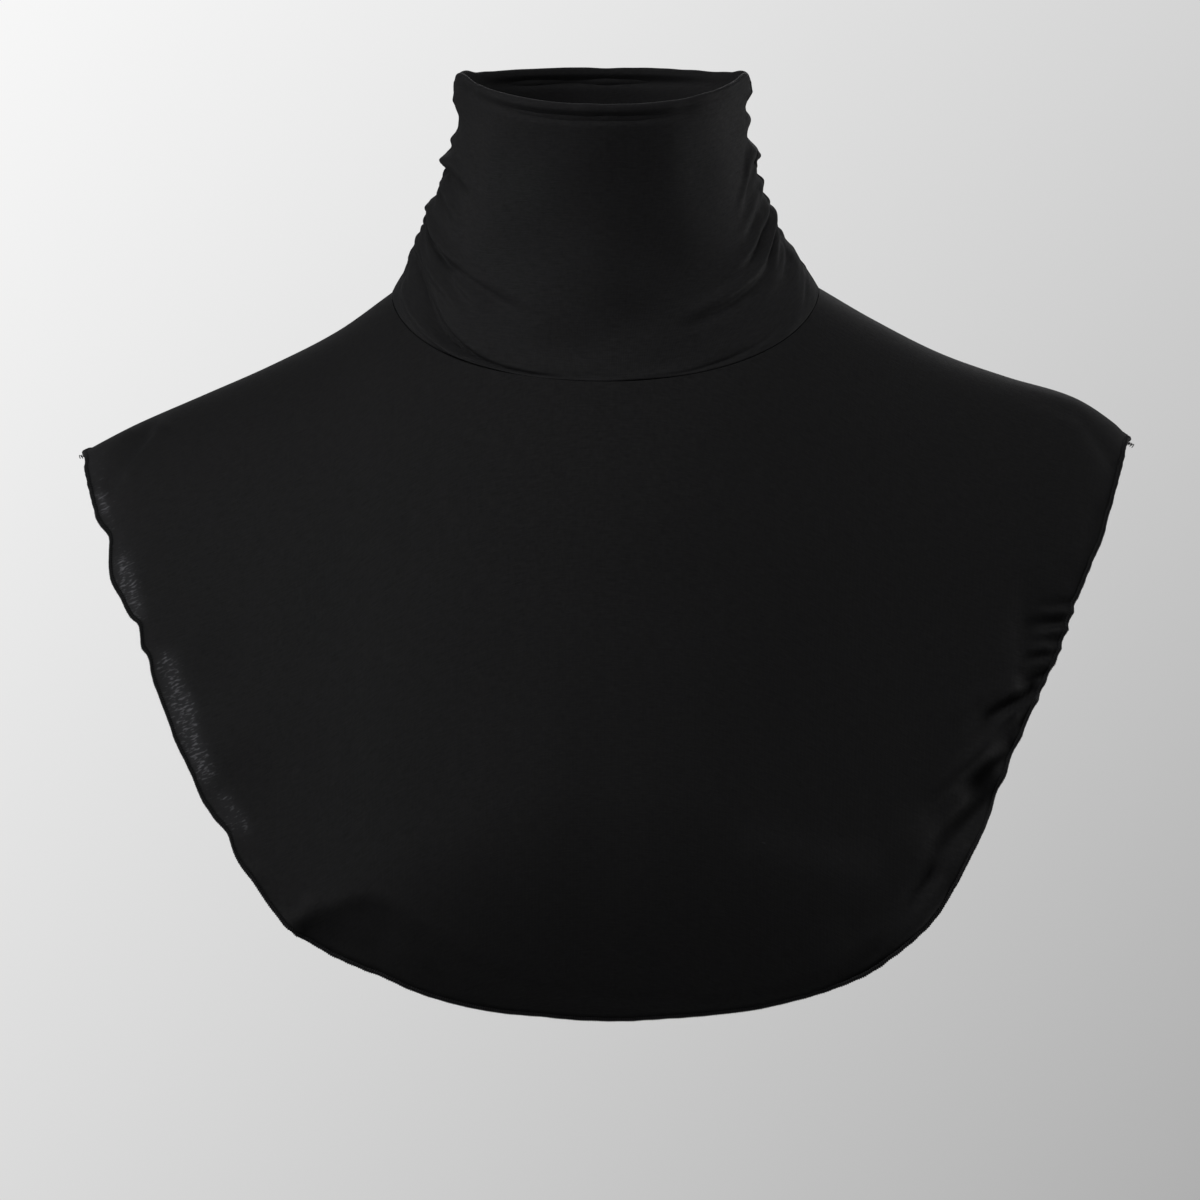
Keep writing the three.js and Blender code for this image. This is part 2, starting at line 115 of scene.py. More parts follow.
def makeWorld():
    world = bpy.data.worlds.new("paleRoom")
    bpy.context.scene.world = world
    world.use_nodes = True
    tree = world.node_tree
    nodes, links = tree.nodes, tree.links
    nodes.clear()
    # The backdrop seen by the camera is painted light, brighter to the upper left and darker to the lower
    # right; other rays get a dim ambient, brighter from behind.
    place = nodes.new("ShaderNodeTexCoord")
    split = nodes.new("ShaderNodeSeparateXYZ")
    across = mathNode(tree, "MULTIPLY_ADD", split.outputs["X"], studio["backAcross"], studio["backMiddle"])
    level = nodes.new("ShaderNodeClamp")
    setInputs(level, {"Min": studio["backDarkest"], "Max": studio["backBrightest"]})
    shade = mathNode(tree, "MULTIPLY_ADD", split.outputs["Z"], studio["backUp"], across)
    links.new(shade, level.inputs["Value"])
    ray = nodes.new("ShaderNodeLightPath")
    pick = nodes.new("ShaderNodeMix")
    room = mathNode(tree, "MULTIPLY_ADD", split.outputs["Y"], studio["ambientBehind"], studio["ambientSide"])
    links.new(mathNode(tree, "MAXIMUM", room, studio["ambientLeast"]), pick.inputs["A"])
    back = nodes.new("ShaderNodeBackground")
    out = nodes.new("ShaderNodeOutputWorld")
    links.new(place.outputs["Generated"], split.inputs[0])
    links.new(ray.outputs["Is Camera Ray"], pick.inputs["Factor"])
    links.new(level.outputs[0], pick.inputs["B"])
    links.new(pick.outputs[0], back.inputs["Color"])
    links.new(back.outputs[0], out.inputs[0])


def makeFloor():
    bpy.ops.mesh.primitive_circle_add(
        vertices=studio["floorSides"], radius=studio["floorRadius"], fill_type="NGON",
        location=(0, 0, studio["floorHeight"]))
    floor = bpy.context.object
    floor.name = "floor"
    paint = bpy.data.materials.new("paleFloor")
    paint.use_nodes = True
    nodes, links = paint.node_tree.nodes, paint.node_tree.links
    surface = nodes["Principled BSDF"]
    surface.inputs["Roughness"].default_value = studio["floorRoughness"]
    ray = nodes.new("ShaderNodeLightPath")
    pale = nodes.new("ShaderNodeMix")
    setInputs(pale, {"A": studio["floorBounce"], "B": studio["floorSeen"]})
    links.new(ray.outputs["Is Camera Ray"], pale.inputs["Factor"])
    links.new(pale.outputs[0], surface.inputs["Base Color"])
    floor.data.materials.append(paint)


bpy.context.scene.view_settings.view_transform = "Standard"
makeCamera()
makeWorld()
makeFloor()
makeLight("keyLeft", (-1.4, -1.5, 1.05), 0.9, 26)
makeLight("sideLeft", (-1.85, 0, 0.3), 0.8, 13)
makeLight("sideRight", (1.8, 0.4, -0.05), 1.3, 21)
makeLight("topSoft", (0.1, -0.9, 1.8), 1.0, 22)
makeLight("backSoft", (0.2, 1.9, 1.0), 1.2, 10)
print("camera, light and floor ready")

# Shape of the cloth, shared by every piece
ridgeY = 2  # depth at which both bibs meet on the shoulders
tipX = 197
taperPower = 2.2
seamGap = -0.1  # the panels meet with a slight overlap, so that no light shows through a seam
neckHalfWidth = 79.7
necklineRoundness = 0.69
shoulderLine = table(
    "across left right",
    (79.7, 2.2, 4), (100, -12.2, -7.8), (125, -25, -20.4), (150, -36, -29.3),
    (175, -46.9, -36.9), (190, -54.6, -46.3), (198, -59.2, -54.5),
)
frontOutline = table(
    "x z",
    (-196, -58.4), (-192.5, -69), (-184, -91), (-172, -122.5), (-161, -146.5), (-145, -179),
    (-122.5, -212), (-92, -233.6), (-50, -248.4), (0, -253.6), (50, -249.6), (92, -237.2),
    (123, -212), (142, -174), (159.5, -138.4), (173, -108.5), (184.5, -81), (191.5, -62), (197, -53.8),
)
backOutline = table(
    "x z",
    (-196, -58.4), (-183, -74), (-163, -100), (-139, -126), (-108, -152), (-70, -172), (-34, -183),
    (0, -187), (34, -183), (70, -172), (108, -150), (139, -123), (163, -96), (184, -68), (197, -53.8),
)

# Dents and ridges of the bibs, each along a line seen from the front
lineColumns = "fromX fromZ toX toZ width depth"
frontDents = table(
    lineColumns,
    (-152, -120, -172, -112, 15, 1.9), (-142, -160, -160, -158, 15, 1.9), (158, -120, 172, -108, 9, -2.2),
    (140, -150, 158, -135, 8, -3), (122, -185, 136, -178, 9, -4), (90, -220, 118, -205, 11, -2),
)
backDents = table(
    lineColumns,
    (-120, -90, -150, -108, 12, 2.5), (120, -88, 150, -104, 12, 2.5),
)

# Line below which the front bib turns under towards its hem, how steeply and how far at most
underLine = table(
    "x z",
    (-118, -230), (-106.5, -218), (-84, -209), (-67, -218.5), (-50, -230), (-22, -240.5), (6, -243.5),
    (40, -245), (62, -242), (80, -236), (105, -227), (120, -212), (128, -204),
)
underSlope = 0.62
underDepth = 7
underSoft = 1.5

# Each bib: its dome over the neckline, how far it reaches out as it falls, less towards the tips,
# how it turns in low down, and the change of slope below each end of the neckline
frontPanel = {
    "side": -1, "outline": frontOutline, "dents": frontDents, "neckDrop": 7.4,
    "peak": 27, "reach": 8.7, "taper": 2.9, "turnFrom": 14, "turn": 0.36, "crease": 0,
}
backPanel = {
    "side": 1, "outline": backOutline, "dents": backDents, "neckDrop": 7.1,
    "peak": 54, "reach": 8.2, "taper": 2.4, "turnFrom": 10, "turn": 0.12, "crease": 0.63,
}
creaseReach = 14  # how far to each side of the crease it is rounded
creaseFrom = 4.8  # the rounding sets in below the neckline, between these roots of the fall
creaseFullFrom = 7.5

# Collar at each level of its height: half widths at the side seams, depths before and behind
rimSideHeight = 83.6
rimMiddle = {-1: 72.5, 1: 86}
rimDip = 2.6
foldSag = 0.6
earRise = 1.4  # the rim rises into a rounded ear beside each side seam
earAt = 16
earWidth = 9
earDrop = 2.2
earRound = 5
foldSagPower = 0.8
footPower = 4  # how soon above the seam the collar leaves the neckline's own depth
roundFrom = 0.45  # level from which the collar is an ellipse seen from above
collarProfile = table(
    "level left right front back",
    (0, 79.7, 79.7, 64.4, 58.2), (0.12, 75, 74, 59.5, 54), (0.3, 68.7, 64.2, 55.5, 49.5),
    (0.5, 61.6, 57.6, 53, 46), (0.68, 57.6, 54.6, 52, 44), (0.84, 55.4, 53, 52.4, 43),
    (1, 55.8, 54.2, 53, 42.5),
)

# Gathers of the side seams: height of each valley and ridge, how far in and out they stand,
# and their reach in degrees round the neck
gathersLeft = table(
    "valley into ridge out reach",
    (9.5, 0.5, 16, 0.5, 26), (19.5, 0.3, 22.5, 0.5, 34), (25, 0.3, 26.8, 0.6, 46), (28.8, 1.1, 31.5, 0.3, 50),
    (34, 1.2, 36.5, 1.5, 46), (39.3, 0.2, 42, 0.6, 34), (45, 1.1, 48, 0.2, 34), (51.5, 0.8, 54, 1.8, 30),
    (57.8, 0.5, 61, 0.8, 24), (66, 1.7, 75, 1, 20),
)
gathersRight = table(
    "valley into ridge out reach",
    (12, 0.4, 17, 0.1, 26), (20.5, 0.5, 23.5, 0.3, 34), (25.5, 0.5, 28, 0.8, 46), (30.5, 0.3, 33.4, 0.7, 50),
    (35.6, 0.9, 38, 0.3, 46), (40.4, 0.5, 43.5, 1.3, 34), (46.5, 1.2, 49.4, 0.2, 34),
    (51.9, 0.6, 56, 1.7, 30), (62, 1.5, 68, 1, 24), (72.5, 1, 78, 1.1, 20),
)
gatherReach = 0.6  # share of its reach within which a gather stands up
gatherEnds = {"footHeight": 4, "footReach": 20, "belowRim": 2, "rimOut": 0.3, "rimReach": 16}
rippleWaves = 14


def smoothstep(start, end, value):
    t = np.clip((value - start) / (end - start), 0, 1)
    return t * t * (3 - 2 * t)


def curveThrough(keys, values):  # a smooth curve through the rows of a table
    keys, values = np.asarray(keys, float), np.asarray(values, float)
    index = np.arange(len(keys))
    before, after = np.maximum(index - 1, 0), np.minimum(index + 1, len(keys) - 1)
    slopes = (values[after] - values[before]) / (keys[after] - keys[before])

    def curve(at):
        i = np.clip(np.searchsorted(keys, at, side="left") - 1, 0, len(keys) - 2)
        span = keys[i + 1] - keys[i]
        t = (at - keys[i]) / span
        bend = slopes[i] * span * t * (1 - t) ** 2 - slopes[i + 1] * span * t ** 2 * (1 - t)
        return values[i] + (values[i + 1] - values[i]) * t * t * (3 - 2 * t) + bend

    return curve


shoulderLeft = curveThrough(shoulderLine["across"], shoulderLine["left"])
shoulderRight = curveThrough(shoulderLine["across"], shoulderLine["right"])


def ridgeHeight(panel, x):  # the height that the cloth falls from, at x
    across = np.abs(x)
    line = np.where(x < 0, shoulderLeft(np.maximum(across, neckHalfWidth)),
                    shoulderRight(np.maximum(across, neckHalfWidth)))
    dome = (panel["peak"] - line) * (1 - np.minimum(1, across / neckHalfWidth) ** 2)
    return line + dome


def creaseRise(panel, x, root):  # rounds the crease below each end of the neckline, clear of the seams
    away = np.abs(np.abs(x) - neckHalfWidth)
    rise = panel["crease"] / (4 * creaseReach) * np.maximum(0, creaseReach - away) ** 2
    return rise * smoothstep(creaseFrom, creaseFullFrom, root)


def clothPoint(panel, x, root):  # a point of the cloth at x, where it has fallen by root squared
    turned = root - panel["turn"] * np.maximum(0, root - panel["turnFrom"]) ** 2
    reach = panel["reach"] - panel["taper"] * (np.abs(x) / tipX) ** taperPower
    y = ridgeY + panel["side"] * (seamGap / 2 + reach * turned)
    return np.stack([x, y, ridgeHeight(panel, x) - root * root + creaseRise(panel, x, root)], -1)


def neckline(panel, angle):
    root = panel["neckDrop"] * np.maximum(0, np.cos(angle)) ** necklineRoundness
    return neckHalfWidth * np.sin(angle), root


def edgeCurves(panel):
    x, z = panel["outline"]["x"], panel["outline"]["z"]
    root = np.sqrt(np.maximum(0, ridgeHeight(panel, x) - z))
    root[[0, -1]] = 0
    rows = np.arange(len(x))
    return curveThrough(rows, x), curveThrough(rows, root), len(x) - 1


def alongLines(x, z, lines, taper=0):  # heights of dents or creases along lines seen from the front
    total = np.zeros_like(x)
    for fromX, fromZ, toX, toZ, width, depth in rowsOf(lineColumns, lines):
        dx, dz = toX - fromX, toZ - fromZ
        t = np.clip(((x - fromX) * dx + (z - fromZ) * dz) / (dx * dx + dz * dz), 0, 1)
        away = np.hypot(x - fromX - dx * t, z - fromZ - dz * t)
        total += depth * (1 - taper * (1 - t) ** 2) * np.exp(-(away / width) ** 2)
    return total


def turnedUnder(x, z):
    line = curveThrough(underLine["x"], underLine["z"])(np.clip(x, underLine["x"][0], underLine["x"][-1]))
    below = np.maximum(0, line - z)
    return -underDepth * (1 - np.exp(-below * underSlope / underDepth)) * smoothstep(0, underSoft, below)


def bibSurface(panel, u, v):  # u runs from the left shoulder tip to the right one, v from neck to edge
    xCurve, rootCurve, last = edgeCurves(panel)
    at = (u + 1) / 2 * last
    neckX, neckRoot = neckline(panel, u * math.pi / 2)
    x = neckX + (xCurve(at) - neckX) * v
    root = neckRoot + (np.maximum(0, rootCurve(at)) - neckRoot) * v
    points = clothPoint(panel, x, root)
    points[..., 1] += panel["side"] * alongLines(points[..., 0], points[..., 2], panel["dents"])
    if panel["side"] < 0:
        points[..., 1] -= turnedUnder(points[..., 0], points[..., 2])
    return points, root


def gatherCurves(rows):
    ends = gatherEnds
    heights, outs, reaches = [0, ends["footHeight"]], [0, 0], [ends["footReach"]] * 2
    for valley, into, ridge, out, reach in rowsOf("valley into ridge out reach", rows):
        heights += [valley, ridge]
        outs += [-into, out]
        reaches += [reach, reach]
    heights += [rimSideHeight - ends["belowRim"], rimSideHeight]
    outs += [ends["rimOut"], 0]
    reaches += [ends["rimReach"]] * 2
    return curveThrough(heights, outs), curveThrough(heights, reaches)


seamCurves = {-1: gatherCurves(gathersLeft), 1: gatherCurves(gathersRight)}


def collarLift(angle, share):
    fromSeam = 90 - np.abs(np.degrees(angle))
    height = share * rimSideHeight
    lifts = {}
    for side, (out, reach) in seamCurves.items():
        lifts[side] = out(height) * np.exp(-(fromSeam / (gatherReach * reach(height))) ** 2)
    return np.where(angle < 0, lifts[-1], lifts[1])


def levelPower(angle):  # folds hang lower towards the middle of a panel
    return 1 + foldSag * np.maximum(0, np.cos(angle)) ** foldSagPower


profile = {name: curveThrough(collarProfile["level"], collarProfile[name])
           for name in ("left", "right", "front", "back")}


def collarSurface(panel, angle, level, folds):  # folds gives the extra height of fine folds
    side = panel["side"]
    sine, cosine = np.sin(angle), np.maximum(0, np.cos(angle))
    neckX, neckRoot = neckline(panel, angle)
    base = clothPoint(panel, neckX, neckRoot)
    fromSeam = 90 - np.abs(np.degrees(angle))
    ear = earRise * np.exp(-((fromSeam - earAt) / earWidth) ** 2)
    ear -= earDrop * np.exp(-(fromSeam / earRound) ** 2)
    rim = rimMiddle[side] + (rimSideHeight - rimMiddle[side]) * np.abs(sine) ** rimDip + ear
    share = np.maximum(0, level) ** (1 / levelPower(angle))
    halfWidth = np.where(sine < 0, profile["left"](level), profile["right"](level))
    depthCurve = profile["front" if side < 0 else "back"]
    depth = depthCurve(level)
    roundness = necklineRoundness + (1 - necklineRoundness) * smoothstep(0, roundFrom, level)
    foot = side * (base[..., 1] - ridgeY) - depthCurve(0.0) * cosine ** necklineRoundness - seamGap / 2
    reach = seamGap / 2 + depth * cosine ** roundness + foot * (1 - level) ** footPower
    outX, outY = sine / halfWidth, side * cosine / depth
    scale = (collarLift(angle, share) + folds(angle, share)) / np.hypot(outX, outY)
    height = rim - base[..., 2]
    points = np.stack([halfWidth * sine + outX * scale, ridgeY + side * reach + outY * scale,
                       base[..., 2] + height * level], -1)
    return points, height


def unitVectors(vectors):
    return vectors / np.maximum(1e-9, np.linalg.norm(vectors, axis=-1, keepdims=True))


def gridNormals(points):  # as the faces of a grid point, columns first
    return unitVectors(np.cross(np.gradient(points, axis=1), np.gradient(points, axis=0)))


def lengthAlong(path):  # the length of a path up to each of its points
    return np.concatenate([[0], np.cumsum(np.linalg.norm(np.diff(path, axis=0), axis=1))])


def turnIn(distance, radius):  # how far cloth has turned in, near a seam
    inside = np.clip(radius - distance, 0, radius)
    return radius - np.sqrt(np.maximum(0, radius ** 2 - inside ** 2))


def ripples(first, second, waveLength, seed):  # a soft random unevenness, about 1 high
    count = rippleWaves
    draw = np.random.default_rng(seed)
    total = np.zeros_like(first)
    for turn, stretch, start in zip(draw.uniform(0, 2 * math.pi, count), draw.uniform(0.7, 1.7, count),
                                    draw.uniform(0, 2 * math.pi, count)):
        wave = 2 * math.pi / (waveLength * stretch)
        total += np.sin(wave * (first * math.cos(turn) + second * math.sin(turn)) + start)
    return total * math.sqrt(2 / count)


print("shape tables ready")


# Meshes
def gridPiece(name, points, pattern, material, thickness=0, isTube=False, paintedGlow=None):
    rows, columns = points.shape[:2]
    bpy.ops.object.select_all(action="DESELECT")
    bpy.ops.mesh.primitive_grid_add(x_subdivisions=columns - 1, y_subdivisions=rows - 1, size=1)
    piece = bpy.context.object
    piece.name = name
    mesh = piece.data
    mesh.vertices.foreach_set("co", (points * mm).astype(np.float32).reshape(-1))
    corners = np.zeros(len(mesh.loops), np.int32)
    mesh.loops.foreach_get("vertex_index", corners)
    flat = (pattern * mm).astype(np.float32).reshape(-1, 2)[corners]
    mesh.uv_layers[0].data.foreach_set("uv", flat.reshape(-1))
    # the mask of painted light, stored on the mesh for its material
    if paintedGlow is not None:
        glowAttribute = mesh.attributes.new("paintedGlow", "FLOAT", "POINT")
        glowAttribute.data.foreach_set("value", np.clip(paintedGlow, 0, 1).astype(np.float32).reshape(-1))
    mesh.update()
    bpy.ops.object.mode_set(mode="EDIT")
    bpy.ops.mesh.select_all(action="SELECT")
    if isTube:
        bpy.ops.mesh.remove_doubles(threshold=1e-7)
    bpy.ops.object.mode_set(mode="OBJECT")
    bpy.ops.object.shade_smooth()
    if thickness:
        wall = piece.modifiers.new("wall", "SOLIDIFY")
        wall.thickness = thickness * mm
        wall.offset = -1
        bpy.ops.object.modifier_apply(modifier="wall")
    piece.data.materials.append(material)
    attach(piece, "root")
    return piece


def tubePiece(name, path, across, up, radius, sides, material):
    # a tube round a path, from two directions square to it, closed at both ends
    turn = np.linspace(0, 2 * math.pi, sides + 1)
    radii = np.full(len(path), float(radius))
    radii[[0, -1]] = 0
    ring = across[:, None] * np.cos(turn)[None, :, None] + up[:, None] * np.sin(turn)[None, :, None]
    points = path[:, None] + ring * radii[:, None, None]
    points[:, -1] = points[:, 0]
    pattern = np.stack(np.broadcast_arrays(turn[None] * radius, lengthAlong(path)[:, None]), -1)
    return gridPiece(name, points, pattern, material, isTube=True)


def smoothSteps(count, power):  # from -1 to 1, closer together at both ends
    t = np.linspace(-1, 1, count)
    return np.sign(t) * (1 - (1 - np.abs(t)) ** power)


# Materials
knitShape = {"slant": 1.9, "deep": 0.35, "shallow": 0.65, "streaks": (210, 2200, 1), "mottle": 700}
toneShape = {"mottle": 0.4, "streaks": 0.6, "from": 0.32, "to": 0.68}
# painted light through the knit: specks, where they start and how sharply, and a lighter haze
paintedGlowShape = {"specks": (420, 1100, 1), "gain": 0.26, "threshold": 0.755, "contrast": 5, "glowHaze": 0.14}
sheenShape = {"roughness": 0.45, "tint": (0.8, 0.82, 0.9, 1)}


def noiseOver(tree, clothMap, scale, detail):
    noise = tree.nodes.new("ShaderNodeTexNoise")
    setInputs(noise, {"Scale": scale, "Detail": detail})
    tree.links.new(clothMap, noise.inputs["Vector"])
    return noise.outputs["Fac"]


def stretchedNoise(tree, clothMap, scales):
    stretch = tree.nodes.new("ShaderNodeMapping")
    setInputs(stretch, {"Scale": scales})
    tree.links.new(clothMap, stretch.inputs["Vector"])
    return noiseOver(tree, stretch.outputs[0], 1, 3)


def blendColors(tree, factor, first, second):
    blend = tree.nodes.new("ShaderNodeMix")
    blend.data_type = "RGBA"
    for source, place in ((factor, "Factor"), (first, 6), (second, 7)):
        tree.links.new(source, blend.inputs[place])
    return blend.outputs[2]


def newGroup(name, inputs, outputs):
    group = bpy.data.node_groups.new(name, "ShaderNodeTree")
    for label, kind, value in inputs:
        socket = group.interface.new_socket(label, in_out="INPUT", socket_type="NodeSocket" + kind)
        if value is not None:
            socket.default_value = value
    for label, kind in outputs:
        group.interface.new_socket(label, in_out="OUTPUT", socket_type="NodeSocket" + kind)
    return group, group.nodes.new("NodeGroupInput"), group.nodes.new("NodeGroupOutput")


def makeKnitGroup():  # rows of knitted loops and their unevenness, from the cloth's own map in metres
    tree, given, out = newGroup("knitLoops", [
        ("Map", "Vector", None), ("Wale", "Float", 0.0007),
        ("Course", "Float", 0.0006), ("Streak", "Float", 0.5),
    ], [("Height", "Float"), ("Streaks", "Float"), ("Mottle", "Float")])
    split = tree.nodes.new("ShaderNodeSeparateXYZ")
    tree.links.new(given.outputs["Map"], split.inputs[0])
    across = mathNode(tree, "DIVIDE", split.outputs["X"], given.outputs["Wale"])
    up = mathNode(tree, "DIVIDE", split.outputs["Y"], given.outputs["Course"])
    halfTurns = mathNode(tree, "MULTIPLY", across, math.pi)
    wale = mathNode(tree, "ABSOLUTE", mathNode(tree, "SINE", halfTurns))
    lean = mathNode(tree, "ABSOLUTE", mathNode(tree, "COSINE", halfTurns))
    slant = mathNode(tree, "MULTIPLY", lean, knitShape["slant"])
    turns = mathNode(tree, "MULTIPLY", up, 2 * math.pi)
    course = mathNode(tree, "SINE", mathNode(tree, "ADD", turns, slant))
    depth = mathNode(tree, "MULTIPLY_ADD", course, knitShape["deep"], knitShape["shallow"])
    loops = mathNode(tree, "MULTIPLY", wale, depth)
    streaks = stretchedNoise(tree, given.outputs["Map"], knitShape["streaks"])
    mottle = noiseOver(tree, given.outputs["Map"], knitShape["mottle"], 5)
    strength = mathNode(tree, "MULTIPLY", streaks, given.outputs["Streak"])
    height = mathNode(tree, "ADD", loops, strength)
    for source, label in ((height, "Height"), (streaks, "Streaks"), (mottle, "Mottle")):
        tree.links.new(source, out.inputs[label])
    return tree


def makeToneGroup():  # a dark colour and a roughness that vary with two masks
    tree, given, out = newGroup("clothTone", [
        ("Dark", "Color", (0, 0, 0, 1)), ("Light", "Color", (0, 0, 0, 1)),
        ("Streaks", "Float", 0.5), ("Mottle", "Float", 0.5),
        ("Smooth", "Float", 0.7), ("Rough", "Float", 0.95),
    ], [("Color", "Color"), ("Roughness", "Float")])
    streaks = mathNode(tree, "MULTIPLY", given.outputs["Streaks"], toneShape["streaks"])
    both = mathNode(tree, "MULTIPLY_ADD", given.outputs["Mottle"], toneShape["mottle"], streaks)
    spread = tree.nodes.new("ShaderNodeMapRange")
    setInputs(spread, {"From Min": toneShape["from"], "From Max": toneShape["to"]})
    tree.links.new(both, spread.inputs["Value"])
    color = blendColors(tree, spread.outputs[0], given.outputs["Dark"], given.outputs["Light"])
    fine = tree.nodes.new("ShaderNodeMix")
    tree.links.new(spread.outputs[0], fine.inputs["Factor"])
    tree.links.new(given.outputs["Rough"], fine.inputs[2])
    tree.links.new(given.outputs["Smooth"], fine.inputs[3])
    tree.links.new(color, out.inputs["Color"])
    tree.links.new(fine.outputs[0], out.inputs["Roughness"])
    return tree


def makePaintedGlowGroup():  # painted light: bright specks and a lighter haze in the base colour, where light showing through the knit and a sheen are painted in
    tree, given, out = newGroup("paintedGlowOverCloth", [
        ("Color", "Color", (0, 0, 0, 1)),
        ("Glow", "Color", (0.065, 0.065, 0.07, 1)),
        ("PaintedGlow", "Float", 0), ("Map", "Vector", None),
    ], [("Color", "Color")])
    paintedGlow = given.outputs["PaintedGlow"]
    specks = stretchedNoise(tree, given.outputs["Map"], paintedGlowShape["specks"])
    over = mathNode(tree, "SUBTRACT", specks, paintedGlowShape["threshold"])
    reach = mathNode(tree, "MULTIPLY_ADD", paintedGlow, paintedGlowShape["gain"], over)
    spread = mathNode(tree, "MULTIPLY", reach, paintedGlowShape["contrast"])
    spread.node.use_clamp = True
    glowHaze = mathNode(tree, "MULTIPLY_ADD", paintedGlow, paintedGlowShape["glowHaze"], spread)
    glowHaze.node.use_clamp = True
    masked = mathNode(tree, "MULTIPLY", glowHaze, paintedGlow)
    color = blendColors(tree, masked, given.outputs["Color"], given.outputs["Glow"])
    tree.links.new(color, out.inputs["Color"])
    return tree


knitGroup = makeKnitGroup()
toneGroup = makeToneGroup()
paintedGlowGroup = makePaintedGlowGroup()


def addGroup(nodes, group, values):
    node = nodes.new("ShaderNodeGroup")
    node.node_tree = group
    setInputs(node, values)
    return node


def clothMaterial(name, look):
    material = bpy.data.materials.new(name)
    material.use_nodes = True
    nodes, links = material.node_tree.nodes, material.node_tree.links
    surface = nodes["Principled BSDF"]
    clothMap = nodes.new("ShaderNodeUVMap")
    knit = addGroup(nodes, knitGroup, {
        "Wale": look["wale"], "Course": look["course"], "Streak": look["streak"]})
    links.new(clothMap.outputs[0], knit.inputs["Map"])
    tone = addGroup(nodes, toneGroup, {
        "Dark": (*look["dark"], 1), "Light": (*look["light"], 1),
        "Smooth": look["smooth"], "Rough": look["rough"]})
    links.new(knit.outputs["Streaks"], tone.inputs["Streaks"])
    links.new(knit.outputs["Mottle"], tone.inputs["Mottle"])
    # mask of the painted light through the knit and the painted sheen
    glowAttribute = nodes.new("ShaderNodeAttribute")
    glowAttribute.attribute_name = "paintedGlow"
    paintedGlow = addGroup(nodes, paintedGlowGroup, {})
    links.new(clothMap.outputs[0], paintedGlow.inputs["Map"])
    links.new(glowAttribute.outputs["Fac"], paintedGlow.inputs["PaintedGlow"])
    links.new(tone.outputs["Color"], paintedGlow.inputs["Color"])
    links.new(paintedGlow.outputs["Color"], surface.inputs["Base Color"])
    links.new(tone.outputs["Roughness"], surface.inputs["Roughness"])
    bump = nodes.new("ShaderNodeBump")
    setInputs(bump, {"Strength": look["bump"], "Distance": look["bumpHeight"]})
    links.new(knit.outputs["Height"], bump.inputs["Height"])
    links.new(bump.outputs[0], surface.inputs["Normal"])
    setInputs(surface, {
        "Specular IOR Level": look["specular"], "Sheen Weight": look["sheen"],
        "Sheen Roughness": sheenShape["roughness"], "Sheen Tint": sheenShape["tint"]})
    return material


jerseyLook = {
    "wale": 0.0005, "course": 0.00042, "streak": 1.0, "dark": (0.0034, 0.0034, 0.0036),
    "light": (0.006, 0.006, 0.0063), "smooth": 0.62, "rough": 0.78, "bump": 0.35, "bumpHeight": 0.00011,
    "specular": 0.085, "sheen": 0.01,
}
# The collar's jersey is a lighter copy of the same cloth: painted light, as the collar catches more light
# than the bib.
collarLighterLook = jerseyLook | {"dark": (0.0046, 0.0046, 0.0049), "light": (0.0082, 0.0082, 0.0087)}
jersey = clothMaterial("blackJersey", jerseyLook)
jerseyLitCollar = clothMaterial("blackJerseyPaintedLighter", collarLighterLook)
# The thread is lighter than the jersey: painted light, its colours lifted to offset the shade between its
# windings and the hem roll.
thread = clothMaterial("blackThread", {
    "wale": 0.0003, "course": 0.0004, "streak": 0.2, "dark": (0.0055, 0.0055, 0.006),
    "light": (0.011, 0.011, 0.012), "smooth": 0.5, "rough": 0.7, "bump": 0.5, "bumpHeight": 0.00006,
    "specular": 0.18, "sheen": 0.02,
})
print("materials ready")

# The collar: one cloth, folded over at the rim and gathered along both side seams
collarCloth = {
    "columns": 191, "outerRows": 150, "rimRows": 13, "innerRows": 76, "thickness": 0.6,
    "wall": 2, "rimRadius": 1.4, "rollBelow": 2.5, "rollOut": 0.7, "rollWidth": 1.5,
    "grooveBelow": 5.2, "grooveIn": 1.0, "grooveWidth": 1.7, "grooveEnds": (-62, -30, 10, 58),
    "seamRadius": 0.8, "baseRadius": 0.3, "lip": 1.5, "columnPower": 1.35, "risePower": 1.15,
    "fallPower": 1.1, "outerFolds": 1.3, "innerFolds": 0.55, "rollLeast": 0.15, "unevenRim": 0.12,
    "unevenLength": 12, "puckerDepth": 0.25, "puckerLength": 3.1, "puckerDrift": 23, "innerTurn": 0.5,
}
seamLip = 0.15  # how far the lips of the neckline's seam stand apart
lipShares = (1, 0.5)
puckerDraws = {
    "start": (0.03, 0.95), "reach": (7, 24), "sink": (-0.01, 0.05), "depth": (0.15, 0.4),
    "width": (0.8, 1.6), "creases": 0.6, "overSeam": -0.5, "front": 16, "back": 26,
}
softFolds = {"depth": 0.22, "length": 26}


def fold(depth, width, *places):  # places: degrees from the seam and share of the height
    degrees, shares = zip(*places)
    return {"depth": depth, "width": width, "degrees": np.array(degrees, float),
            "shares": np.array(shares)}


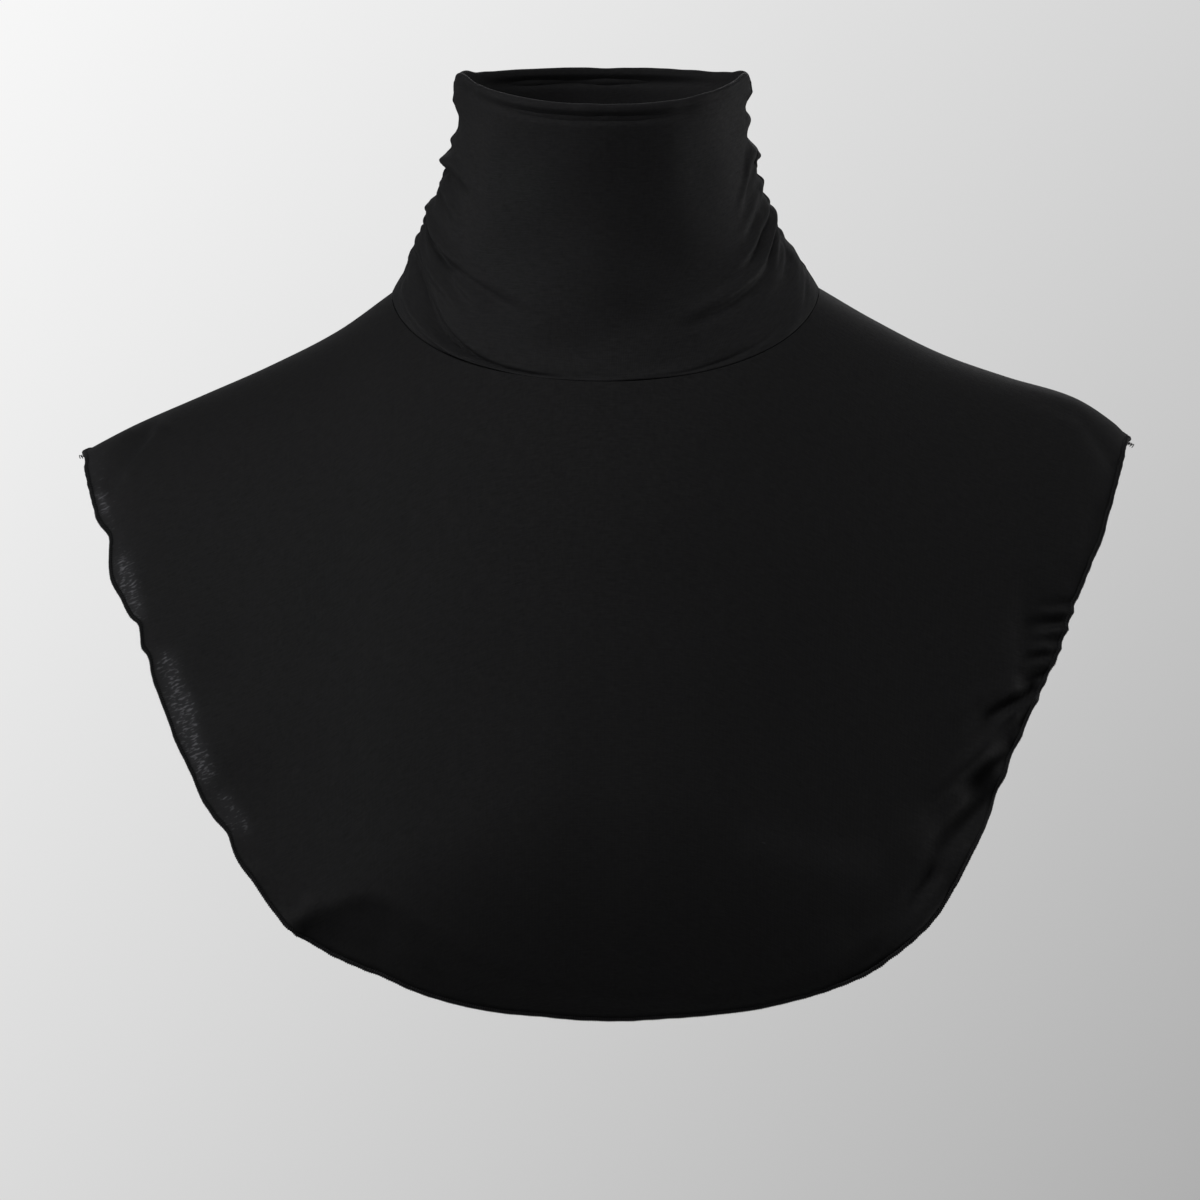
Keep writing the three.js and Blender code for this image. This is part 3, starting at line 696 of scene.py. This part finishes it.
# Folds in front, ridges above 0 and creases below it, in millimetres
foldsLeft = [
    fold(1.5, 2.0, (-4, 0.615), (2, 0.631), (20, 0.688), (40, 0.684)),
    fold(-0.8, 1.8, (0, 0.575), (8, 0.6), (20, 0.64), (34, 0.63)),
    fold(1.4, 1.9, (-4, 0.54), (4, 0.546), (17, 0.578), (36, 0.548)),
    fold(1.4, 2.4, (-4, 0.45), (6, 0.456), (28, 0.448), (47, 0.439), (72, 0.408)),
    fold(-1.1, 2.6, (20, 0.395), (32, 0.401), (41, 0.427), (50, 0.418), (72, 0.36)),
    fold(-0.6, 2.1, (8, 0.4), (18, 0.396), (37, 0.365), (52, 0.305)),
    fold(0.7, 2.1, (34, 0.402), (46, 0.367), (58, 0.355)),
    fold(0.9, 2.2, (4, 0.32), (12, 0.331), (33, 0.329), (50, 0.255)),
    fold(-0.4, 1.8, (2, 0.27), (8, 0.291), (21, 0.326), (29, 0.285)),
    fold(-2.8, 3.3, (-2, 0.17), (16, 0.233), (25, 0.221), (38, 0.139), (50, 0.09), (64, 0.058)),
    fold(-1.0, 1.7, (36, 0.15), (44, 0.118), (54, 0.08), (66, 0.052), (84, 0.04)),
    fold(1.1, 3.0, (6, 0.13), (30, 0.1), (50, 0.045), (66, 0.02)),
]
foldsRight = [
    fold(1.0, 2.0, (6, 0.7), (19, 0.684), (24, 0.64), (36, 0.59)),
    fold(1.2, 2.2, (-2, 0.55), (8, 0.551), (19, 0.55), (38, 0.54)),
    fold(-0.6, 1.8, (10, 0.525), (22, 0.51), (34, 0.5)),
    fold(1.2, 2.2, (-2, 0.42), (7, 0.434), (22, 0.471), (36, 0.454), (54, 0.455)),
    fold(-0.8, 2.0, (2, 0.41), (8, 0.422), (22, 0.434), (27, 0.42), (42, 0.42)),
    fold(1.6, 2.7, (-4, 0.39), (12, 0.401), (22, 0.39), (30, 0.374), (48, 0.378), (72, 0.365)),
    fold(-1.2, 2.6, (10, 0.36), (22, 0.352), (37, 0.338), (56, 0.326), (72, 0.32)),
    fold(0.7, 2.1, (4, 0.345), (13, 0.33), (22, 0.318), (34, 0.29)),
    fold(-0.8, 2.2, (0, 0.29), (7, 0.279), (12, 0.249), (26, 0.25)),
    fold(-0.5, 1.6, (30, 0.125), (37, 0.108), (53, 0.08), (68, 0.05), (84, 0.05)),
]


def seamPuckers(seed, count):  # small random gathers close to a side seam
    draw = np.random.default_rng(seed)
    folds = []
    for start in np.sort(draw.uniform(*puckerDraws["start"], count)):
        reach = draw.uniform(*puckerDraws["reach"])
        sink = draw.uniform(*puckerDraws["sink"]) * reach / 20
        depth = draw.uniform(*puckerDraws["depth"]) * (-1 if draw.uniform() < puckerDraws["creases"] else 1)
        width = draw.uniform(*puckerDraws["width"])
        folds.append(fold(depth, width, (puckerDraws["overSeam"], start), (reach, start - sink)))
    return folds


def foldHeights(folds, fromSeam, share):
    total = np.zeros_like(share)
    for one in folds:
        first, last = one["degrees"][[0, -1]]
        at = np.clip(fromSeam, first, last)
        t = (at - first) / (last - first)
        fade = smoothstep(0, 0.15, t) * (1 - smoothstep(0.6, 1, t))
        away = (share - curveThrough(one["degrees"], one["shares"])(at)) * rimSideHeight
        total += one["depth"] * fade * np.exp(-(away / one["width"]) ** 2)
    return total


def foldsOf(panel, scale):
    seed = 11 if panel["side"] < 0 else 21
    if panel["side"] < 0:
        left = foldsLeft + seamPuckers(seed, puckerDraws["front"])
        right = foldsRight + seamPuckers(seed + 1, puckerDraws["front"])
    else:  # the hidden back takes up some of the front's folds
        left = foldsRight[3:8] + seamPuckers(seed, puckerDraws["back"])
        right = foldsLeft[:6] + seamPuckers(seed + 1, puckerDraws["back"])

    def folds(angle, share):
        fromSeam = 90 - np.abs(np.degrees(angle))
        onLeft, onRight = [foldHeights(side, fromSeam, share) for side in (left, right)]
        folded = np.where(angle < 0, onLeft, onRight)
        uneven = ripples(np.degrees(angle), share * 100, softFolds["length"], seed + 5)
        soft = softFolds["depth"] * uneven * smoothstep(0, 0.1, share)
        return scale * (folded * smoothstep(0, 0.03, share) + soft)

    return folds


def makeCollar(name, node, panel):
    look = collarCloth
    angles = smoothSteps(look["columns"], look["columnPower"]) * math.pi / 2
    surface = foldsOf(panel, look["outerFolds"])
    quiet = foldsOf(panel, look["innerFolds"])
    height = collarSurface(panel, angles, np.ones_like(angles), surface)[1]
    top = 1 - look["rimRadius"] / height
    rise = np.linspace(0, 1, look["outerRows"])[:, None] ** look["risePower"] * top[None]
    fall = (1 - np.linspace(0, 1, look["innerRows"])[:, None] ** look["fallPower"]) * top[None]
    angleUp = np.broadcast_to(angles, rise.shape)
    angleDown = np.broadcast_to(angles, fall.shape)
    outer = collarSurface(panel, angleUp, rise, surface)[0]
    inner = collarSurface(panel, angleDown, fall, quiet)[0]
    side = panel["side"]
    outerNormal = gridNormals(outer) * -side
    innerNormal = gridNormals(inner[::-1])[::-1] * -side
    outerNormal[:, [0, -1]] = unitVectors(outerNormal[:, [0, -1]] * (1, 0, 1))
    innerNormal[:, [0, -1]] = unitVectors(innerNormal[:, [0, -1]] * (1, 0, 1))

    def rimShape(level):  # how far the rolled rim stands out of the wall, on both faces
        below = (1 - level) * height
        start, fullFrom, fullTo, stop = look["grooveEnds"]
        degrees = np.degrees(angles)
        across = smoothstep(start, fullFrom, degrees) * (1 - smoothstep(fullTo, stop, degrees))
        roll = look["rollOut"] * np.exp(-((below - look["rollBelow"]) / look["rollWidth"]) ** 2)
        groove = look["grooveIn"] * np.exp(-((below - look["grooveBelow"]) / look["grooveWidth"]) ** 2)
        return (roll - groove) * (look["rollLeast"] + (1 - look["rollLeast"]) * across)

    uneven = look["unevenRim"] * ripples(np.degrees(angles), angles * 0, look["unevenLength"], 31)
    drift = 2 * np.sin(rise * look["puckerDrift"])
    pucker = 1 + look["puckerDepth"] * np.sin(2 * math.pi * rise * height / look["puckerLength"] + drift)
    seamAway = np.abs(outer[..., 1] - ridgeY)
    base = rise * height
    lift = rimShape(rise) + uneven * smoothstep(0.9, 0.97, rise)
    lift -= turnIn(seamAway, look["seamRadius"]) * pucker + turnIn(base, look["baseRadius"])
    outer = outer + outerNormal * lift[..., None]
    turned = turnIn(np.abs(inner[..., 1] - ridgeY), look["seamRadius"])
    sink = -look["wall"] - rimShape(fall) + look["innerTurn"] * turned
    inner = inner + innerNormal * sink[..., None]

    # The roll over the rim joins the outer face to the inner one
    middle = (outer[-1] + inner[0]) / 2
    out = (outer[-1] - inner[0]) / 2
    upward = unitVectors(outer[-1] - outer[-3]) * np.linalg.norm(out, axis=1, keepdims=True)
    turn = np.linspace(0, math.pi, look["rimRows"] + 2)[1:-1, None, None]
    roll = middle + out * np.cos(turn) + upward * np.sin(turn)

    # Under the seam, the outer face goes on inwards as the seam's allowance
    lipRows = [outer[0] - outerNormal[0] * look["lip"] * share + (0, 0, seamLip) for share in lipShares]
    points = np.concatenate([np.stack(lipRows), outer, roll, inner])
    steps = np.linalg.norm(np.diff(points, axis=0), axis=-1)
    down = np.concatenate([np.zeros((1, points.shape[1])), np.cumsum(steps, axis=0)])
    across = lengthAlong(outer[len(outer) // 2])
    pattern = np.stack([np.broadcast_to(across, down.shape), down], -1)

    # Both ends of the cloth turn in at the side seams
    def turnedEnd(edge, inward):
        return [edge + inward * look["lip"] * share for share in (0.5, 1)]

    inward = -np.sign(points[:, 0, :1]) * (1, 0, 0)
    split = len(lipRows) + len(outer) + look["rimRows"] // 2
    reverse = np.where(np.arange(len(points)) < split, 1.0, -0.3)[:, None]
    first = turnedEnd(points[:, 0], inward * reverse)
    last = turnedEnd(points[:, -1], -inward * reverse)
    points = np.stack([*first[::-1], *points.transpose(1, 0, 2), *last], 1)
    pattern = np.pad(pattern, ((0, 0), (2, 2), (0, 0)), "edge")
    if side > 0:
        points, pattern = points[:, ::-1], pattern[:, ::-1]
    # The collar is made of the lighter copy of the jersey, whose extra brightness is painted light.
    piece = gridPiece(name, points, pattern, jerseyLitCollar, thickness=look["thickness"])
    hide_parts(node)
    print(name, "made,", len(piece.data.polygons), "faces")
    return piece


collarFront = makeCollar("collarFrontCloth", "collar_front", frontPanel)
collarBack = makeCollar("collarBackCloth", "collar_back", backPanel)

# The bib: one layer of cloth from the neckline to the hem
bibCloth = {
    "frontColumns": 430, "frontRows": 100, "backColumns": 161, "backRows": 60, "thickness": 0.9,
    "seamRadius": 0.9, "neckRadius": 0.3, "lip": 1.5, "hemInset": 1.0, "uneven": 0.14,
    "unevenLength": 60, "calmShoulder": 12, "calmNeck": 8, "pinchTaper": 0.9,
}
shareStep = 0.02  # a small share of the way from neck to edge, for measuring lengths
rowsNearNeck = np.array([0, 0.15, 0.35, 0.6, 0.95, 1.4, 2, 2.8])
rightPinches = table(  # each from its faint inner end to the edge
    lineColumns,
    (154, -96, 154, -120, 6, -1.1), (164, -103, 170, -106, 5, 0.7),
    (156, -110.3, 171, -109.4, 1.6, -1.2), (159, -113, 170, -113.3, 1.8, 1.7),
    (152, -117, 167, -115.8, 2.3, -2), (160, -119.4, 168, -119, 1.7, 2.2),
    (156, -122.2, 166, -122.8, 1.8, -1.5), (154, -126, 164, -125.2, 1.6, 1.7),
    (149, -129.6, 161, -127.6, 2.3, -2), (150, -132, 160, -131, 2.2, 1.8),
    (146, -137.5, 161, -134, 2.1, -1.8),
    (124, -149, 148, -139, 4.4, 1.9), (136, -149, 157, -139.5, 2.2, -3.4), (143, -150, 156, -144, 1.7, 2.2),
    (138, -157, 151, -152, 2.4, -2.2), (114, -180, 148, -150, 3.8, 2.3), (118, -182, 148, -160, 3.6, -3.2),
    (133, -179, 146, -169, 2, 2.2), (116, -199, 141, -174, 4.8, -4.6), (106, -199, 128, -178, 4.4, 1.6),
    (176, -96, 181, -78, 4, -0.8), (106, -216, 118, -203, 2.8, -2.6), (80, -238, 98, -229, 2.4, -2),
    (156, -36, 176, -43, 3, -0.6), (176, -43, 188, -60, 3, -0.9),
)
leftFolds = table(
    lineColumns,
    (-136, -194, -126, -206, 4, 1.2), (-126, -206, -112, -220, 3.4, 1.5), (-112, -220, -104, -213, 2.8, 1.1),
    (-96, -216, -86, -222, 5, 0.8), (-74, -228, -66, -232, 5, 0.7),
    (-170, -50, -184, -68, 2.6, -1.5), (-165, -48, -177, -63, 3, 1.1), (-177, -50, -188, -62, 3, 0.8),
)
paintedGlowPatches = table(  # painted light, laid in as lighter colour: patches by the left edge where light shows through the knit, a spot by the right edge and a sheen patch
    lineColumns,
    (-187, -72, -185, -77, 2.2, 0.5), (-177, -96, -171, -112, 3.4, 0.6), (-159, -129, -153, -146, 4.6, 0.7),
    (-153, -147, -145, -168, 4.4, 0.7), (-137, -177, -129, -187, 3.6, 0.5), (165, -119, 166, -121, 1.4, 0.5),
    (-192, -60, -181, -95, 12, 0.6), (-176, -112, -140, -185, 10, 0.48), (-138, -190, -124, -206, 7, 0.3),
    # a painted sheen patch, low on the right of the front
    (52, -187, 92, -197, 9, 0.4),
)
edgeNotches = table(  # side is 0 where a notch goes across the middle
    "side z width inset",
    (-1, -88, 4, 2.4), (-1, -101, 6, -2.2), (-1, -121, 5, 3.3), (-1, -131.5, 4.5, 2.4), (-1, -158, 8, -1),
    (-1, -177, 5, -0.9), (-1, -192, 5, 2.3), (-1, -208, 4, 1.6), (-1, -222, 7, -1.2), (-1, -241, 5, -0.9),
    (0, -253, 16, -0.9), (1, -87, 8, -1.2), (1, -130, 10, -1), (1, -183, 13, -1.5), (1, -218, 8, -1.4),
    (1, -240, 7, -1),
)


def edgeInset(panel, edge):  # how far the edge is drawn in where it puckers
    total = np.zeros_like(edge[..., 0])
    if panel["side"] < 0:
        for side, z, width, inset in rowsOf("side z width inset", edgeNotches):
            total += inset * np.exp(-((edge[..., 2] - z) / width) ** 2) * (edge[..., 0] * side >= 0)
    return total


def edgeShares(panel, u, distance):  # v at a distance inside the edge, notches included
    edge = bibSurface(panel, u, np.ones_like(u))[0]
    inside = bibSurface(panel, u, np.full_like(u, 1 - shareStep))[0]
    length = np.linalg.norm(edge - inside, axis=-1) / shareStep
    return 1 - (distance + edgeInset(panel, edge)) / length


def bibPoints(panel, u, v):  # the cloth's outer face with its fine creases, and its normals
    points, root = bibSurface(panel, u, v)
    normals = gridNormals(points) * panel["side"]
    x, z = points[..., 0], points[..., 2]
    lift = bibCloth["uneven"] * ripples(x, z, bibCloth["unevenLength"], 41 + panel["side"])
    if panel["side"] < 0:
        lift += alongLines(x, z, rightPinches, bibCloth["pinchTaper"])
        lift += alongLines(x, z, leftFolds)
    return points, normals, root, lift


def bibColumns(panel, count):  # closer together at both tips, and where the front's edge puckers
    t = np.linspace(-1, 1, 4001)
    density = 1 + 2 * np.exp(-(1 - np.abs(t)) / 0.04)
    if panel["side"] < 0:
        density += 2.2 * np.exp(-((t - 0.56) / 0.16) ** 2) + 0.6 * np.exp(-((t + 0.5) / 0.25) ** 2)
    total = np.concatenate([[0], np.cumsum((density[1:] + density[:-1]) / 2)])
    return np.interp(np.linspace(0, total[-1], count), total, t)


def makeBib(name, node, panel, columns, rows):
    look = bibCloth
    side = panel["side"]
    u = bibColumns(panel, columns)
    below = bibSurface(panel, u, np.full_like(u, shareStep))[0]
    near = np.linalg.norm(below - bibSurface(panel, u, np.zeros_like(u))[0], axis=-1) / shareStep
    nearRows = rowsNearNeck[:, None] / near
    end = edgeShares(panel, u, look["hemInset"])
    farRows = nearRows[-1] + np.linspace(0, 1, rows)[1:, None] * (end - nearRows[-1])
    v = np.concatenate([nearRows, farRows])
    points, normals, root, lift = bibPoints(panel, np.broadcast_to(u, v.shape), v)
    normals[:, [0, -1]] = unitVectors(normals[:, [0, -1]] * (1, 0, 1))
    shoulderAway = root * np.hypot(panel["reach"], root)
    neckAway = v * near
    settle = smoothstep(0, look["calmShoulder"], shoulderAway) * smoothstep(0, look["calmNeck"], neckAway)
    lift = lift * settle - turnIn(shoulderAway, look["seamRadius"]) - turnIn(neckAway, look["neckRadius"])
    points = points + normals * lift[..., None]
    grain = np.stack([points[..., 0], shoulderAway], -1)
    # where light through the knit and a sheen patch are painted as lighter colour, on the front only
    paintedGlow = alongLines(points[..., 0], points[..., 2], paintedGlowPatches) * (side < 0)

    # Lips that turn in at the neckline and at both shoulders
    lipRows = [points[0] - normals[0] * look["lip"] * share - (0, 0, seamLip) for share in lipShares]
    points = np.concatenate([np.stack(lipRows), points])
    normals = np.concatenate([normals[:1], normals[:1], normals])
    paintedGlow = np.pad(paintedGlow, ((2, 0), (2, 2)))
    first = [points[:, 0] - normals[:, 0] * look["lip"] * share for share in lipShares]
    last = [points[:, -1] - normals[:, -1] * look["lip"] * share for share in lipShares[::-1]]
    points = np.stack([*first, *points.transpose(1, 0, 2), *last], 1)
    grain = np.pad(grain, ((2, 0), (2, 2), (0, 0)), "edge")
    if side < 0:
        points, grain, paintedGlow = points[:, ::-1], grain[:, ::-1], paintedGlow[:, ::-1]
    piece = gridPiece(name, points, grain, jersey, thickness=look["thickness"], paintedGlow=paintedGlow)
    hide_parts(node)
    print(name, "made,", len(piece.data.polygons), "faces")
    return piece


bibFront = makeBib("bibFrontCloth", "bib_front", frontPanel, bibCloth["frontColumns"], bibCloth["frontRows"])
bibBack = makeBib("bibBackCloth", "bib_back", backPanel, bibCloth["backColumns"], bibCloth["backRows"])

# Thread that winds round a path: overlocked edges and seam allowances
overlock = {"pitch": 0.85, "threadRadius": 0.16, "stepsPerTurn": 8, "sides": 4, "boxy": 0.6}


def resample(path, frames, spacing):  # the path and its directions at even distances
    length = lengthAlong(path)
    at = np.linspace(0, length[-1], max(4, int(length[-1] / spacing) + 1))
    even = np.stack([np.interp(at, length, path[:, k]) for k in range(3)], -1)
    turned = [unitVectors(np.stack([np.interp(at, length, f[:, k]) for k in range(3)], -1)) for f in frames]
    return even, turned


def boxy(value, power):  # 1 keeps a circle round, and less makes it a rounded box
    return np.sign(value) * np.abs(value) ** power


def windThread(name, path, frames, halfAcross, halfUp, square):
    # a thread wound round the path; square is 1 for a round winding and less for a boxy one
    look = overlock
    spacing = look["pitch"] / look["stepsPerTurn"]
    path, (across, up) = resample(path, frames, spacing)
    turn = np.arange(len(path)) * 2 * math.pi / look["stepsPerTurn"]
    cosine, sine = np.cos(turn), np.sin(turn)
    wobble = 1 + 0.05 * np.sin(turn * 0.37) + 0.04 * np.sin(turn * 0.113)
    line = path + across * (halfAcross * wobble * boxy(cosine, square))[:, None]
    line = line + up * (halfUp * wobble * boxy(sine, square))[:, None]
    outward = unitVectors(across * cosine[:, None] * halfUp + up * sine[:, None] * halfAcross)
    tangent = unitVectors(np.gradient(line, axis=0))
    outward = unitVectors(outward - tangent * np.sum(outward * tangent, axis=1, keepdims=True))
    sideways = np.cross(tangent, outward)
    return tubePiece(name, line, sideways, outward, look["threadRadius"], look["sides"], thread)


# Hems
hem = {
    "rollRadius": 0.85, "rollSides": 10, "threadOut": 1.0, "rows": 500, "rowPower": 1.2,
    "endFront": 0.994, "endBack": 0.99, "inside": (3.0, 2.0, 1.0), "sunk": 0.45, "drawnIn": 0.1,
    "length": 350, "sways": ((0.12, 9, 61), (0.1, 23, 62)),
}


def makeHem(label, node, panel, end):
    u = np.linspace(-end, end, hem["rows"])
    u = np.sign(u) * (1 - (1 - np.abs(u)) ** hem["rowPower"])
    shares = np.stack([edgeShares(panel, u, inside) for inside in hem["inside"]])
    points, normals, _, lift = bibPoints(panel, np.broadcast_to(u, shares.shape), shares)
    points = points + normals * lift[..., None]
    outward = unitVectors(points[2] - points[0])
    normal = normals[1]
    normal = unitVectors(normal - outward * np.sum(normal * outward, axis=1, keepdims=True))
    sway = sum(high * ripples(u * hem["length"], u * 0, long, seed) for high, long, seed in hem["sways"])
    middle = points[2] - normal * hem["sunk"] + outward * (sway[:, None] - hem["drawnIn"])
    roll = tubePiece("hemRoll" + label, middle, outward, normal, hem["rollRadius"], hem["rollSides"],
                     jersey)
    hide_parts(node)
    out = hem["threadOut"]
    winding = windThread("hemThread" + label, middle, [outward, normal], out, out, 1)
    print("hem", label, "made")
    return roll, winding


hemFront = makeHem("Front", "hem_front", frontPanel, hem["endFront"])
hemBack = makeHem("Back", "hem_back", backPanel, hem["endBack"])

# Overlocked allowance behind the neckline
allowance = {
    "width": 4.4, "thickness": 1.5, "upperLevel": 0.03, "below": 2.4, "inside": 2.9, "rows": 240,
    "widthShare": 0.86, "bandHalf": 0.55, "threadHalf": 0.68, "threadPast": 0.15, "corner": 0.55,
    "sectionPoints": 17,
}
softening = np.array([1, 2, 3, 2, 1]) / 9
shoulderBand = {
    "neckGap": 3, "tipGap": 3.4, "rows": 60, "pastTip": 1.4, "raised": (0.8, 2.0), "forward": 1,
    "sag": -0.05, "under": 0.85, "cloth": 1.2, "bandIn": 0.25, "threadIn": 0.1,
}


def boxSection(middle, across, up, halfWidth, name, isLoop=False):
    corner = allowance["corner"]
    turn = np.linspace(0, 2 * math.pi, allowance["sectionPoints"])
    ring = across[:, None] * (halfWidth * boxy(np.cos(turn), corner))[None, :, None]
    ring = ring + up[:, None] * (allowance["bandHalf"] * boxy(np.sin(turn), corner))[None, :, None]
    points = middle[:, None] + ring
    if isLoop:
        points[-1] = points[0]
    else:
        points[0], points[-1] = middle[0], middle[-1]
    points[:, -1] = points[:, 0]
    pattern = np.stack(np.broadcast_arrays(turn[None] * halfWidth / 3, lengthAlong(middle)[:, None]), -1)
    return gridPiece(name, points, pattern, jersey, isTube=True)


def makeNecklineSeam():
    parts = []
    still = foldsOf(frontPanel, 0)
    for panel, start in ((frontPanel, -90), (backPanel, 90)):
        angle = np.radians(np.linspace(start, -start, allowance["rows"]))
        levels = np.array([0.0, 0.004, allowance["upperLevel"]])[:, None] * np.ones_like(angle)
        points = collarSurface(panel, np.broadcast_to(angle, levels.shape), levels, still)[0]
        upward = unitVectors(points[2] - points[0])
        tangent = unitVectors(np.gradient(points[0], axis=0))
        outward = unitVectors(np.cross(tangent, upward))
        top = points[2]
        low = points[0] - upward * allowance["below"]
        middle = (top + low) / 2 - outward * (allowance["inside"] + allowance["thickness"] / 2)
        half = np.linalg.norm(top - low, axis=1) / 2
        parts.append((middle[:-1], upward[:-1], outward[:-1], half[:-1]))
    middle, upward, outward, half = [np.concatenate([p[k] for p in parts]) for k in range(4)]
    middle, upward, outward = [np.concatenate([a, a[:1]]) for a in (middle, upward, outward)]
    for k in range(3):
        wrapped = np.concatenate([outward[-3:-1, k], outward[:-1, k], outward[:2, k]])
        outward[:-1, k] = np.convolve(wrapped, softening, "valid")
    outward[-1] = outward[0]
    outward = unitVectors(outward)
    halfWidth = float(np.median(half)) * allowance["widthShare"]
    band = boxSection(middle, upward, outward, halfWidth, "necklineAllowance", isLoop=True)
    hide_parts("neckline_seam")
    windThread("necklineThread", middle, [upward, outward], halfWidth + allowance["threadPast"],
               allowance["threadHalf"], overlock["boxy"])
    print("neckline seam made")


makeNecklineSeam()


# Overlocked allowances under the shoulder seams, whose ends stand out at the tips
def makeShoulderSeam(label, node, side):
    look = shoulderBand
    tip = frontOutline["x"][0] if side < 0 else frontOutline["x"][-1]
    along = np.linspace(neckHalfWidth + look["neckGap"], abs(tip) - look["tipGap"], look["rows"])
    x = np.concatenate([side * along, [tip - side * look["pastTip"], tip + side * look["pastTip"]]])
    raised = np.concatenate([np.zeros(look["rows"]), look["raised"]])
    slope = ridgeHeight(backPanel, x + 0.5) - ridgeHeight(backPanel, x - 0.5)
    normal = unitVectors(np.stack([-slope, np.zeros_like(x), np.ones_like(x)], -1))
    across = np.tile([0.0, 1.0, look["sag"]], (len(x), 1))
    under = look["under"] + look["cloth"] + allowance["thickness"] / 2
    half = allowance["width"] / 2
    middle = np.stack([x, np.full_like(x, ridgeY - look["forward"] + half), ridgeHeight(backPanel, x)], -1)
    middle = middle + normal * (raised - under)[:, None]
    band = boxSection(middle, across, normal, half - look["bandIn"], "shoulderAllowance" + label)
    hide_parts(node)
    windThread("shoulderThread" + label, middle, [across, normal], half - look["threadIn"],
               allowance["threadHalf"], overlock["boxy"])
    print("shoulder seam", label, "made")


makeShoulderSeam("Left", "shoulder_seam_left", -1)
makeShoulderSeam("Right", "shoulder_seam_right", 1)
